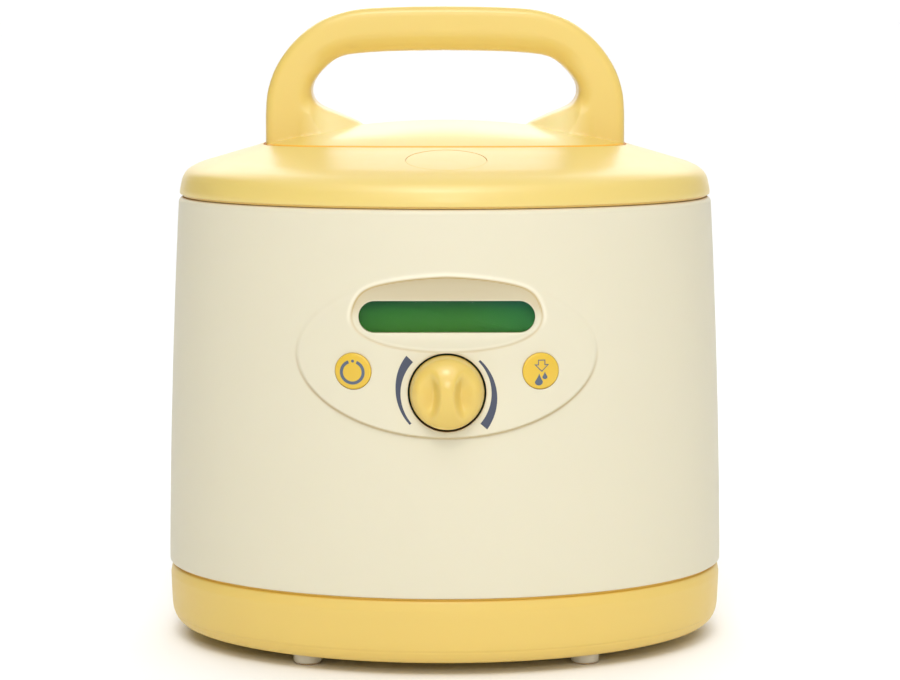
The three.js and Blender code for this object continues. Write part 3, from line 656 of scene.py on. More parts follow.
def display_material():
    """The lit green panel: deep bluish green along the top, painted shade from the recess's hood, a warmer glow at the
    lower corners, faint character cells.
    """
    m = bpy.data.materials.new("display_green")
    m.use_nodes = True
    nt = m.node_tree
    nodes, links = nt.nodes, nt.links
    bsdf = nodes["Principled BSDF"]
    tc = nodes.new("ShaderNodeTexCoord")
    sep = nodes.new("ShaderNodeSeparateXYZ")
    links.new(tc.outputs["Object"], sep.inputs["Vector"])
    mz = nodes.new("ShaderNodeMapRange")
    mz.inputs["From Min"].default_value = 0.1170
    mz.inputs["From Max"].default_value = 0.1290
    links.new(sep.outputs["Z"], mz.inputs["Value"])
    ramp = nodes.new("ShaderNodeValToRGB")
    e = ramp.color_ramp.elements
    e[0].position, e[0].color = 0.0, rgb(70, 124, 46)
    e[1].position, e[1].color = 1.0, rgb(24, 70, 56)
    for pos, c in ((0.25, rgb(64, 122, 50)), (0.6, rgb(56, 116, 52)), (0.84, rgb(42, 98, 60))):
        k = e.new(pos)
        k.color = c
    links.new(mz.outputs["Result"], ramp.inputs["Fac"])
    # the right end leans to blue-green, the left end is a little darker, painted shade from the recess's side
    mxr = nodes.new("ShaderNodeMapRange")
    mxr.inputs["From Min"].default_value = -0.03
    mxr.inputs["From Max"].default_value = 0.03
    links.new(sep.outputs["X"], mxr.inputs["Value"])
    side = nodes.new("ShaderNodeValToRGB")
    s = side.color_ramp.elements
    s[0].position, s[0].color = 0.0, (0.72, 0.80, 0.82, 1)
    s[1].position, s[1].color = 1.0, (0.62, 0.92, 1.5, 1)
    for pos, c in ((0.2, (0.95, 0.98, 0.95, 1)), (0.62, (1.0, 1.0, 1.0, 1)), (0.86, (0.80, 1.0, 1.45, 1))):
        k = s.new(pos)
        k.color = c
    links.new(mxr.outputs["Result"], side.inputs["Fac"])
    mul = nodes.new("ShaderNodeMix")
    mul.data_type = "RGBA"
    mul.blend_type = "MULTIPLY"
    mul.inputs["Factor"].default_value = 1.0
    links.new(ramp.outputs["Color"], mul.inputs["A"])
    links.new(side.outputs["Color"], mul.inputs["B"])
    # faint grid of unlit dots
    chk = nodes.new("ShaderNodeTexBrick")
    chk.inputs["Scale"].default_value = 1.0
    chk.offset = 0.0
    chk.inputs["Mortar Size"].default_value = 0.00009
    chk.inputs["Brick Width"].default_value = 0.00062
    chk.inputs["Row Height"].default_value = 0.00066
    chk.inputs["Color1"].default_value = (0.93, 0.93, 0.93, 1)
    chk.inputs["Color2"].default_value = (0.96, 0.96, 0.96, 1)
    chk.inputs["Mortar"].default_value = (1.0, 1.0, 1.0, 1)
    comb = nodes.new("ShaderNodeCombineXYZ")
    links.new(sep.outputs["X"], comb.inputs["X"])
    links.new(sep.outputs["Z"], comb.inputs["Y"])
    links.new(comb.outputs["Vector"], chk.inputs["Vector"])
    mul2 = nodes.new("ShaderNodeMix")
    mul2.data_type = "RGBA"
    mul2.blend_type = "MULTIPLY"
    mul2.inputs["Factor"].default_value = 1.0
    links.new(mul.outputs["Result"], mul2.inputs["A"])
    links.new(chk.outputs["Color"], mul2.inputs["B"])
    links.new(mul2.outputs["Result"], bsdf.inputs["Base Color"])
    links.new(mul2.outputs["Result"], bsdf.inputs["Emission Color"])
    bsdf.inputs["Emission Strength"].default_value = 0.335
    bsdf.inputs["Roughness"].default_value = 0.5
    set_in(bsdf, "Specular IOR Level", 0.1)
    return m


M["lcd"] = display_material()
M["window"] = finish_of("clear_window", rgb(232, 244, 230), rough=0.05, grain=500, grain_depth=0.000004, transmission=1.0, ior=1.16, vary=0.01, rough_vary=0.03, spec=0.3)
M["floor"] = finish_of("pale_floor", rgb(253, 253, 253), rough=0.9, grain=400, grain_depth=0.00002, vary=0.004, vary_scale=3, spec=0.1)

floor_v = []
for i in range(25):
    for j in range(25):
        floor_v.append((-36.0 + 3.0 * i, -10.0 + 4.0 * j, 0.0))
fm = bpy.data.meshes.new("floor")
fm.from_pydata(floor_v, [], [(i * 25 + j, (i + 1) * 25 + j, (i + 1) * 25 + j + 1, i * 25 + j + 1) for i in range(24) for j in range(24)])
floor = bpy.data.objects.new("floor", fm)
scene.collection.objects.link(floor)
fm.materials.append(M["floor"])


def finished(ob, body, node, material, angle=38):
    ob.data.materials.clear()
    ob.data.materials.append(material)
    for p in ob.data.polygons:
        p.material_index = 0
    finish_shading(ob, angle)
    if body:
        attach(ob, body)
    if node:
        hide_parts(*([node] if isinstance(node, str) else node))
    return ob


def ring_solid(name, rows, n=192, phase=0.0):
    """rows of [half-width, half-depth, z, exponent] from axis to axis, or a closed loop of rows."""
    closed = tuple(rows[0]) == tuple(rows[-1])
    rr = rows[:-1] if closed else rows
    vs, faces, at = [], [], []
    for a, b, z, p in rr:
        if a < 1e-9:
            at.append(("p", len(vs)))
            vs.append((0, 0, z))
            continue
        at.append(("r", len(vs)))
        for j in range(n):
            t = 2 * math.pi * (j + phase) / n
            c, s = math.cos(t), math.sin(t)
            vs.append((a * math.copysign(abs(c) ** (2 / p), c), b * math.copysign(abs(s) ** (2 / p), s), z))
    m = len(rr)
    for i in range(m if closed else m - 1):
        (ka, a), (kb, b) = at[i], at[(i + 1) % m]
        for j in range(n):
            k = (j + 1) % n
            if ka == "p" and kb == "r":
                faces.append((a, b + k, b + j))
            elif ka == "r" and kb == "p":
                faces.append((a + j, a + k, b))
            elif ka == "r":
                faces.append((a + j, a + k, b + k, b + j))
    return raw(name, vs, faces)


def rows_of(pts, n=2.0):
    return [[a, a * RATIO, z, n] for a, z in pts]


def dense(xs, ys, per=16):
    """A smooth curve through the points, as a lookup."""
    c = np.array(catmull(list(zip(xs, ys)), per))
    order = np.argsort(c[:, 0])
    return c[order, 0], c[order, 1]


# ------------------------------------------------------------------------------------------------ housing
_PZ = np.array([28.7, 49, 67, 84.6, 102.2, 119.7, 137.2, 154.6])
_PA = np.array([100.2, 99.85, 99.45, 98.9, 98.3, 97.6, 96.8, 95.9])
_PC = np.polyfit((_PZ - 90) / 60, _PA, 3)


def body_a(z):
    z = np.asarray(z, float)
    a = np.minimum(np.polyval(_PC, (z - 90) / 60), 100.15)
    top = np.clip(z - 157.3, 0, 2.0)
    low = np.clip(28.2 - z, 0, 0.6)
    return a - (2.0 - np.sqrt(4.0 - top ** 2)) - (0.6 - np.sqrt(0.36 - low ** 2))


def oval_y(x, z):
    a = body_a(z)
    return -RATIO * a * np.sqrt(np.clip(1 - (x / a) ** 2, 1e-6, 1))


_HT = dense([-1.4, -1, -0.5, 0, 0.4, 0.7, 1, 1.4], [1.5, 1.4, 1.15, 0.5, 0.27, 0.3, 0.72, 1.2])
_HW = dense([-1.4, -1, -0.3, 0.3, 1, 1.4], [0.9, 0.9, 1.0, 1.4, 2.1, 2.3])


def pad_y(x, z):
    dz = z - 110.5
    rho = np.sqrt((x / 51.35) ** 2 + (dz / 28.25) ** 2) + 1e-9
    g = np.sqrt((x / 51.35 ** 2) ** 2 + (dz / 28.25 ** 2) ** 2) / rho + 1e-9
    d = (1 - rho) / g
    t = dz / 28.3
    return oval_y(x, z) - np.interp(t, *_HT) * smooth(d / np.interp(t, *_HW))


MOUTH = [(0, 136.85), (-6.5, 136.5), (-12.4, 135.9), (-18.4, 135.0), (-23.2, 133.9), (-26.4, 132.75), (-28.8, 131.2), (-30.5, 129.1), (-31.7, 126.5), (-32.3, 123.9), (-32.2, 121.9), (-31.4, 119.8),
         (-29.9, 117.9), (-27.6, 116.2), (-24.4, 114.7), (-20.0, 113.35), (-13.6, 112.2), (-6.8, 111.55), (0, 111.35)]
MOUTH = MOUTH + [(-x, z) for x, z in MOUTH[1:-1]][::-1]
MOUTH = catmull(MOUTH, 5, closed=True)
STAD = stadium(29.8, 5.4, 123)
LCD_FLOOR = -74.3


def front_y(x, z):
    y = pad_y(x, z)
    near = (np.abs(x) < 36) & (z > 108.5) & (z < 140)
    if near.any():
        xn, zn, yn = x[near], z[near], y[near]
        dm, ds = poly_sdf(xn, zn, MOUTH), poly_sdf(xn, zn, STAD)
        s = np.clip(ds, 0, None) / np.maximum(np.clip(ds, 0, None) - dm, 0.35)
        s = np.where(ds <= 0, 0, np.clip(s, 0, 3)) ** 1.45
        yn = yn - 0.11 * np.exp(-((dm - 0.62) / 0.6) ** 2) * (0.35 + 0.65 * smooth((zn - 121) / 8)) * (zn > 118)
        depth = np.minimum(yn - LCD_FLOOR, 0)
        yr = LCD_FLOOR + depth * s
        yr = np.where(dm > 1.2, yn - 5, yr)
        y[near] = np.where(dm > 1.2, yn, smax(yn, yr, 0.34))
    # softly broken edges round the holes
    for cx, cz, r, dip in ((0, 98, 13.25, 0.28), (-31.6, 104.8, 6.24, 0.1), (31.6, 104.8, 6.24, 0.1)):
        d = np.hypot(x - cx, z - cz) - r
        y = y + dip * np.clip(1 - np.clip(d, 0, None) / 0.8, 0, 1) ** 2
    return y


def paint_shade_and_highlight(ob):
    """Painted shade on the display's recess, along its edge and on the step under the raised oval, and painted
    highlight round the recess's upper edge and on its lower wall.
    """
    me = ob.data
    co = np.empty(len(me.vertices) * 3, np.float32)
    me.vertices.foreach_get("co", co)
    co = co.reshape(-1, 3).astype(float) * 1000
    x, y, z = co.T
    w = np.zeros(len(co))
    # painted shade: the upper recess wall, a dark line just inside the recess's edge and a shadow line just inside the
    # raised oval's lower edge
    front = (y < -60) & (np.abs(x) < 60) & (z > 78) & (z < 142)
    xf, zf = x[front], z[front]
    dm, ds = poly_sdf(xf, zf, MOUTH), poly_sdf(xf, zf, STAD)
    up = smooth((zf - 121.5) / 6)
    wall = smooth(-dm / 0.5) * smooth(ds / 0.3)
    v = wall * (0.27 * up + 0.10 * up * smooth(1 - (-dm) / 3.0))
    v = np.maximum(v, np.exp(-((dm + 0.18) / 0.36) ** 2) * (0.42 + 0.40 * up))
    rho = np.sqrt((xf / 51.35) ** 2 + ((zf - 110.5) / 28.25) ** 2) + 1e-9
    g = np.sqrt((xf / 51.35 ** 2) ** 2 + ((zf - 110.5) / 28.25 ** 2) ** 2) / rho + 1e-9
    d = (1 - rho) / g
    t = (zf - 110.5) / 28.3
    low = smooth((0.25 - t) / 0.9)
    v = np.maximum(v, np.exp(-((d - 0.22) / 0.42) ** 2) * 0.62 * low)
    w[front] = v
    at = me.attributes.new("painted_shade", "FLOAT", "POINT")
    at.data.foreach_set("value", w.astype(np.float32))
    # painted highlight: a band just outside the recess's upper edge and a lighter lower wall
    light = np.zeros(len(co))
    down = smooth((122.5 - zf) / 4)
    q = wall * down * 0.05
    q = np.maximum(q, np.exp(-((dm - 0.85) / 0.55) ** 2) * 0.62 * smooth((zf - 118) / 6))
    q = np.maximum(q, np.exp(-((dm + 0.95) / 0.4) ** 2) * 0.35 * down)
    light[front] = q
    at = me.attributes.new("painted_light", "FLOAT", "POINT")
    at.data.foreach_set("value", light.astype(np.float32))


def make_housing():
    zs = np.concatenate([[27.6, 27.68, 27.85, 28.2], np.linspace(29.4, 80, 15), np.arange(80.6, 141.2, 0.42), [142, 144.5, 147.5, 150.5, 153.5, 156, 157.0, 157.3, 157.7, 158.1, 158.5, 158.8, 159.05, 159.22, 159.3]])
    d = math.radians(0.248)
    nf = 138
    phi_f = np.arange(-nf, nf + 1) * d
    edge = phi_f[-1]
    rest = np.linspace(edge, 2 * math.pi - edge, 120)[1:-1]
    phi = np.concatenate([phi_f, rest])
    Z, P = np.meshgrid(zs, phi, indexing="ij")
    A = body_a(Z)
    X = A * np.sin(P)
    Y = -RATIO * A * np.cos(P)
    F = np.zeros_like(X, bool)
    F[:, : len(phi_f)] = True
    F &= (Z > 79) & (Z < 142)
    Y[F] = front_y(X[F], Z[F])
    rows, cols = Z.shape
    vs = np.stack([X, Y, Z], -1).reshape(-1, 3).tolist()
    faces = grid_faces(rows, cols)
    top, bottom = len(vs), len(vs) + 1
    vs += [(0, 0, 159.3), (0, 0, 27.6)]
    for j in range(cols):
        k = (j + 1) % cols
        faces.append((bottom, k, j))
        faces.append((top, (rows - 1) * cols + j, (rows - 1) * cols + k))
    ob = raw("housing", vs, faces)
    inner = ring_solid("inner", rows_of([(0, 20), (97.6, 20), (97.6, 33.4), (96.9, 66), (95.7, 102.2), (94.2, 138), (93.8, 143.5), (89.6, 147), (89.6, 149.6), (93.1, 149.6), (93.1, 170), (0, 170)]), 144)
    boss = prism(rounded_rect(-36, 36, 108, 141, 3), -100, -71.9, "y", "boss")
    boolean(inner, [boss])
    cutters = [inner, prism(STAD, -80, -60, "y", "lcd_hole"), prism(circle(13.25, 96, 0, 98), -100, -60, "y", "knob_hole")]
    for s in (-1, 1):
        cutters.append(prism(circle(6.24, 64, s * 31.6, 104.8), -100, -60, "y", "button_hole"))
    cutters += [prism(rounded_rect(-21, 21, 148.4, 172, 1.4), 66, 92, "y", "hinge_notch"), prism(rounded_rect(-23, 23, 117.8, 122.4, 1.2), 60, 92, "y", "card_slot"),
                prism(rounded_rect(-14.4, 14.4, 36.4, 56.4, 1.6), 60, 92, "y", "inlet_hole")]
    for i in range(-3, 4):
        cutters.append(prism(rounded_rect(i * 8 - 1.3, i * 8 + 1.3, 72, 92, 1.25), 60, 92, "y", "vent"))
    for s in (-1, 1):
        cutters.append(prism(circle(4.2, 40, 24, 159.25), min(s * 84, s * 99), max(s * 84, s * 99), "x", "port"))
    boolean(ob, cutters)
    paint_shade_and_highlight(ob)
    return finished(ob, "housing_body", "housing", M["housing"], 32)


make_housing()


# ------------------------------------------------------------------------------------------------ marks on the panel
def strip(name, inner, outer, yfun, body, material, out=0.045, deep=0.10):
    """A thin printed shape between two lists of (x, z) points, laid on the surface yfun."""
    n, across = len(inner), 5
    pts = []
    for layer in (-out, deep):
        for i in range(n):
            for k in range(across):
                t = k / (across - 1)
                x = inner[i][0] + (outer[i][0] - inner[i][0]) * t
                z = inner[i][1] + (outer[i][1] - inner[i][1]) * t
                pts.append((x, layer, z))
    pts = np.array(pts)
    pts[:, 1] += yfun(pts[:, 0], pts[:, 2])
    half = n * across
    faces = grid_faces(n, across, wrap=False)
    faces += [tuple(half + v for v in f[::-1]) for f in faces]
    edge = [i * across for i in range(n)] + [(n - 1) * across + k for k in range(1, across)] + [i * across + across - 1 for i in range(n - 2, -1, -1)] + [k for k in range(across - 2, 0, -1)]
    for a, b in zip(edge, edge[1:] + edge[:1]):
        faces.append((b, a, half + a, half + b))
    ob = raw(name, pts.tolist(), faces)
    return finished(ob, body, None, material)


def polar(r, deg, cx=0.0, cz=98.0):
    a = np.radians(deg)
    return list(zip(cx + r * np.cos(a), cz + r * np.sin(a)))


def ramps():
    deg = np.linspace(136.6, 220.4, 48)
    r = np.interp(deg, *dense([136.6, 155, 174, 197, 220.4], [18.5, 17.9, 17.2, 16.6, 16.2]))
    strip("less_vacuum_ramp", polar(np.full(48, 15.43), deg, -0.2, 97.7), polar(r, deg, -0.2, 97.7), pad_y, "housing_body", M["mark"])
    deg = np.linspace(-40.9, 44.3, 48)
    r = np.interp(deg, *dense([-40.9, -20, 2, 24, 44.3], [18.45, 17.85, 17.2, 16.6, 16.15]))
    strip("more_vacuum_ramp", polar(np.full(48, 15.43), deg, -0.45, 97.7), polar(r, deg, -0.45, 97.7), pad_y, "housing_body", M["mark"])


ramps()


# ------------------------------------------------------------------------------------------------ push buttons and their icons
TAN = math.tan(math.radians(15.4))
BTN_X, BTN_Z = 31.6, 104.8


def button_face(side):
    def f(x, z):
        r = np.hypot(x - side * BTN_X, z - BTN_Z)
        return -76.42 + TAN * (np.abs(x) - BTN_X) - 0.75 * (1 - np.clip(r / 6.17, 0, 1) ** 2)
    return f


def make_button(side, name, body):
    f = button_face(side)
    n = 96
    radii = [0.0, 1, 2, 3, 4, 4.8, 5.4, 5.7, 5.88, 6.0, 6.1, 6.16]
    drops = [0, 0, 0, 0, 0, 0, 0.005, 0.03, 0.08, 0.16, 0.28, 0.46]
    vs, at = [], []
    for r, dr in zip(radii, drops):
        if r == 0:
            at.append(("p", 0))
            vs.append((side * BTN_X, float(f(np.array([side * BTN_X]), np.array([BTN_Z]))[0]), BTN_Z))
            continue
        at.append(("r", len(vs)))
        for j in range(n):
            t = 2 * math.pi * j / n
            x, z = side * BTN_X + r * math.cos(t), BTN_Z + r * math.sin(t)
            vs.append((x, float(f(np.array([x]), np.array([z]))[0]) + dr, z))
    for r, y in ((6.17, -70.6), (7.0, -70.5), (7.0, -69.5), (6.9, -69.4), (2.5, -69.4), (2.4, -68.3), (2.2, -68.2)):
        at.append(("r", len(vs)))
        for j in range(n):
            t = 2 * math.pi * j / n
            vs.append((side * BTN_X + r * math.cos(t), y, BTN_Z + r * math.sin(t)))
    at.append(("p", len(vs)))
    vs.append((side * BTN_X, -68.2, BTN_Z))
    faces = []
    for (ka, a), (kb, b) in zip(at, at[1:]):
        for j in range(n):
            k = (j + 1) % n
            if ka == "p":
                faces.append((a, b + j, b + k))
            elif kb == "p":
                faces.append((a + j, b, a + k))
            else:
                faces.append((a + j, b + j, b + k, a + k))
    ob = raw(name, vs, faces)
    return finished(ob, body, name, M["button"], 50)


make_button(-1, "power_button", "power_key")
make_button(1, "letdown_button", "letdown_key")


def icons():
    cx, cz = -BTN_X - 0.27, BTN_Z - 0.23
    f = button_face(-1)
    deg = np.linspace(110, 428, 90)
    strip("power_icon_ring", polar(np.full(90, 3.16), deg, cx, cz), polar(np.full(90, 4.2), deg, cx, cz), f, "power_key", M["icon"], 0.03, 0.06)
    deg = np.linspace(0, 180, 17)
    dot = np.array(polar(np.full(17, 0.5), deg, -BTN_X - 0.15, BTN_Z + 3.55))
    low = np.array(polar(np.full(17, 0.5), -deg, -BTN_X - 0.15, BTN_Z + 3.55))
    low[0] += 1e-3
    low[-1] -= 1e-3
    strip("power_icon_dot", low, dot, f, "power_key", M["icon"], 0.03, 0.06)
    g = button_face(1)
    ox, oz = BTN_X, BTN_Z
    outer = [(-0.93, 3.94), (1.54, 3.94), (1.54, 2.4), (2.86, 2.4), (0.35, -0.19), (-2.24, 2.4), (-0.93, 2.4)]
    inner = [(-0.62, 3.63), (1.23, 3.63), (1.23, 2.09), (2.12, 2.09), (0.35, 0.25), (-1.5, 2.09), (-0.62, 2.09)]
    # the outline is one closed band, drawn as a strip that returns to its start
    fo, fi = [], []
    m = len(outer)
    for i in range(m):
        for t in (0.0, 0.34, 0.67):
            j = (i + 1) % m
            fo.append((ox + outer[i][0] + (outer[j][0] - outer[i][0]) * t, oz + outer[i][1] + (outer[j][1] - outer[i][1]) * t))
            fi.append((ox + inner[i][0] + (inner[j][0] - inner[i][0]) * t, oz + inner[i][1] + (inner[j][1] - inner[i][1]) * t))
    ring_strip("letdown_icon_arrow", fi, fo, g, "letdown_key", M["icon"])
    for name, tip, c, r in (("letdown_icon_drop_large", (-0.5, -0.77), (-0.62, -3.47), 1.36), ("letdown_icon_drop_small", (1.39, -0.12), (1.43, -1.85), 0.87)):
        left, right = [], []
        for t in np.linspace(0, 1, 24):
            z = tip[1] + (c[1] - r - tip[1]) * t
            if z >= c[1]:
                u = (tip[1] - z) / (tip[1] - c[1])
                w = r * (0.03 + 0.97 * u ** 1.25)
            else:
                w = max(0.02, math.sqrt(max(r * r - (z - c[1]) ** 2, 0)))
            mx = c[0] + (tip[0] - c[0]) * max(0.0, (z - c[1]) / (tip[1] - c[1]))
            left.append((ox + mx - w, oz + z))
            right.append((ox + mx + w, oz + z))
        strip(name, left, right, g, "letdown_key", M["icon"], 0.03, 0.06)


def ring_strip(name, inner, outer, yfun, body, material, out=0.03, deep=0.06):
    n = len(inner)
    pts = []
    for layer in (-out, deep):
        for ring in (inner, outer):
            pts += [(x, layer, z) for x, z in ring]
    pts = np.array(pts)
    pts[:, 1] += yfun(pts[:, 0], pts[:, 2])
    faces = []
    for i in range(n):
        j = (i + 1) % n
        faces += [(i, j, n + j, n + i), (2 * n + i, 3 * n + i, 3 * n + j, 2 * n + j), (i, 2 * n + i, 2 * n + j, j), (n + i, n + j, 3 * n + j, 3 * n + i)]
    return finished(raw(name, pts.tolist(), faces), body, None, material)


icons()


# ------------------------------------------------------------------------------------------------ vacuum knob
def make_knob():
    n = 192
    rs = np.concatenate([np.linspace(0, 9.9, 50), [10.2, 10.5, 10.8, 11.05, 11.25, 11.43, 11.58, 11.7, 11.8, 11.87]])
    t = np.linspace(0, 2 * math.pi, n, endpoint=False)
    vs, at = [], []
    for r in rs:
        if r == 0:
            at.append(("p", 0))
            vs.append((0, knob_face(0.0, 0.0), 98))
            continue
        at.append(("r", len(vs)))
        for a in t:
            x, z = r * math.cos(a), r * math.sin(a)
            vs.append((x, knob_face(x, z), 98 + z))
    for r, y in ((12.02, -84.3), (12.12, -83.7), (12.3, -82.6), (12.52, -80.8), (12.6, -79.4), (12.5, -78.95), (12.3, -78.9), (10.6, -78.9), (10.6, -81.9), (5.4, -81.9), (5.4, -78.9), (3.3, -78.9), (3.3, -86.8)):
        at.append(("r", len(vs)))
        for a in t:
            vs.append((r * math.cos(a), y, 98 + r * math.sin(a)))
    at.append(("p", len(vs)))
    vs.append((0, -86.8, 98))
    faces = []
    for (ka, a), (kb, b) in zip(at, at[1:]):
        for j in range(n):
            k = (j + 1) % n
            if ka == "p":
                faces.append((a, b + j, b + k))
            elif kb == "p":
                faces.append((a + j, b, a + k))
            else:
                faces.append((a + j, b + j, b + k, a + k))
    ob = raw("knob", vs, faces)
    return finished(ob, "vacuum_dial", "knob", M["knob"], 55)


KNOB_R, KNOB_Y = [np.array(c) for c in zip(*catmull([(0, -90.8), (1.5, -90.76), (3, -90.58), (5, -90.12), (7, -89.42), (8.8, -88.5), (10.2, -87.5), (11.15, -86.45), (11.7, -85.5), (11.95, -84.6)], 8))]


def knob_face(x, z):
    r = math.hypot(x, z)
    y = float(np.interp(r, KNOB_R, KNOB_Y))
    ax = abs(x)
    w = 1.75 + 1.9 * (min(abs(z), 11) / 9.0) ** 2
    g = float(smooth((ax - w) / 3.1)) * (1 - float(smooth((ax - w - 1.9) / 7.2)))
    v = 1 - float(smooth((abs(z + 0.3) - 1.2) / 8.6))
    return y + 4.1 * g * v


make_knob()


# ------------------------------------------------------------------------------------------------ display
def make_display():
    w = prism(stadium(29.6, 5.25, 123, 32), -74.05, -71.0, "y", "display_window")
    bevelled(w, 0.35, 3, 60)
    fl = prism(stadium(33, 8, 123, 24), -71.6, -70.6, "y", "fl")
    boolean(w, [fl], "UNION")
    finished(w, "housing_body", "display_window", M["window"], 30)
    p = prism(rounded_rect(-34, 34, 115.2, 131, 0.8), -70.45, -69.75, "y", "lcd_panel")
    bevelled(p, 0.12, 2)
    finished(p, "housing_body", None, M["lcd"])
    b = prism(rounded_rect(-36, 36, 113.2, 134, 0.8), -69.7, -64.6, "y", "lcd_frame")
    bevelled(b, 0.4, 2)
    finished(b, "housing_body", "lcd_module", M["black"])


make_display()


# ------------------------------------------------------------------------------------------------ base tray and feet
LEGS = [(-54, -40), (54, -40), (-54, 46), (54, 46)]


def make_base():
    outer = [(0, 4.0), (60, 4.0), (88, 4.0), (91.4, 4.05)] + catmull([(92.4, 4.2), (95.6, 5.15), (97.5, 6.6), (98.55, 8.3)], 5) + [(98.62, 8.62), (98.66, 8.9), (98.86, 9.12)] + catmull([(99.05, 9.6), (99.3, 10.9), (99.48, 12.6), (99.64, 16), (99.78, 20), (99.84, 23.0)], 4) + [(99.8, 23.3), (99.7, 23.9), (99.56, 24.6), (99.42, 25.3)]
    outer += [(99.3, 25.9), (99.16, 26.3), (98.98, 26.58), (98.8, 26.74), (98.6, 26.8), (98.6, 27.4), (97.2, 27.4), (97.2, 32.7), (96.9, 33), (95.5, 33), (95.2, 32.7), (95.1, 20), (95, 9.6), (94.4, 8.2), (92.4, 7.2), (60, 7.2), (0, 7.2)]
    ob = ring_solid("base_tray", rows_of(outer), 208)
    add, sub = [], []
    for x, y in LEGS:
        add.append(prism(circle(6.5, 48, x, y), 6, 10.7, "z", "boss"))
        sub += [prism(circle(2.2, 32, x, y), 2, 12, "z", "screw_hole"), prism(circle(4.4, 40, x, y), 2, 7, "z", "counterbore")]
    for x in (-18, -6, 6, 18):
        sub.append(prism(rounded_rect(x - 1.2, x + 1.2, 58, 68, 1.15), 2, 9, "z", "vent"))
    boolean(ob, add, "UNION")
    boolean(ob, sub)
    return finished(ob, "housing_body", "base_tray", M["base"], 30)


make_base()


def make_feet():
    for n, x, y in (("front_left", -48.2, -55), ("front_right", 48.2, -55), ("rear_left", -48.5, 55), ("rear_right", 48.5, 55)):
        prof = [(0, 0.35), (1.2, 0.3), (2.2, 0.0)] + [(3.4, 0.0)] + arc(3.6, 1.35, 1.35, -90, 0, 8)[1:] + [(4.98, 2.3), (5.0, 3.3), (4.9, 3.6), (4.6, 3.7), (0, 3.7)]
        vs, faces = lathe(prof, x, y, 56)
        ob = raw("foot_" + n, vs, faces)
        finished(ob, "housing_body", "foot_" + n, M["foot"], 50)


make_feet()


# ------------------------------------------------------------------------------------------------ screws
def cross_screw(name, body, x, y, z_head, r_head, h_head, r_shank, z_tip, up, material):
    """A pan-head screw along Z with a cross recess; up says which way the head faces."""
    s = 1 if up else -1
    prof = [(0, z_tip), (r_shank * 0.35, z_tip + s * 0.5), (r_shank, z_tip + s * 1.6)]
    # shallow thread rings on the shank
    span = abs(z_head - z_tip) - 2.4
    k = max(3, int(span / 0.8))
    for i in range(k):
        z0 = z_tip + s * (1.7 + span * i / k)
        prof += [(r_shank, z0), (r_shank - 0.18, z0 + s * span / k * 0.5)]
    prof += [(r_shank, z_head), (r_head - 0.15, z_head), (r_head, z_head + s * 0.15), (r_head, z_head + s * h_head * 0.5), (r_head - 0.25, z_head + s * h_head * 0.85), (r_head - 0.7, z_head + s * h_head), (0, z_head + s * h_head)]
    vs, faces = lathe(prof, x, y, 32)
    ob = raw(name, vs, faces)
    z1, z2 = z_head + s * h_head * 0.35, z_head + s * (h_head + 1)
    lo, hi = min(z1, z2), max(z1, z2)
    w, l = r_head * 0.14, r_head * 0.58
    boolean(ob, [block(x - w, x + w, y - l, y + l, lo, hi), block(x - l, x + l, y - w, y + w, lo, hi)])
    return finished(ob, body, name, material, 40)


for i, (x, y) in enumerate(LEGS):
    cross_screw("base_screw_%d" % (i + 1), "housing_body", x, y, 6.6, 3.9, 1.7, 1.7, 19.6, False, M["steel"])
DECK_SCREWS = [(-62, -30, 0.0), (62, -30, 0.0), (-13, 61, 2.2), (13, 61, 2.2)]
for i, (x, y, dz) in enumerate(DECK_SCREWS):
    cross_screw("deck_screw_%d" % (i + 1), "housing_body", x, y, 153.3 + dz, 3.1, 1.7, 1.5, 140.6 + dz, True, M["steel"])
for n, x in (("left", -40), ("right", 40)):
    cross_screw("handle_screw_" + n, "lid_assembly", x, 0, 173.7, 3.2, 3.1, 1.2, 181.0, False, M["steel"])


# ------------------------------------------------------------------------------------------------ deck, membranes, hinge bracket, latch keeper
def make_deck():
    prof = [(0, 149.9), (92.3, 149.9), (92.6, 150.2), (92.6, 152.6), (92.3, 152.9), (0, 152.9)]
    ob = ring_solid("deck", rows_of(prof), 176)
    sub = []
    for s in (-1, 1):
        sub.append(prism(circle(22, 80, s * 38, -5), 140, 160, "z", "hole"))
    sub += [prism(rounded_rect(-22, 22, 66, 95, 1.5), 140, 160, "z", "rear"), prism(rounded_rect(-8, 8, -70.2, -57, 1.2), 140, 160, "z", "latch")]
    for x, y, _ in DECK_SCREWS:
        sub.append(prism(circle(1.9, 28, x, y), 140, 160, "z", "h"))
    boolean(ob, sub)
    bevelled(ob, 0.25, 2, 60)
    finished(ob, "housing_body", "deck", M["deck"], 30)


make_deck()


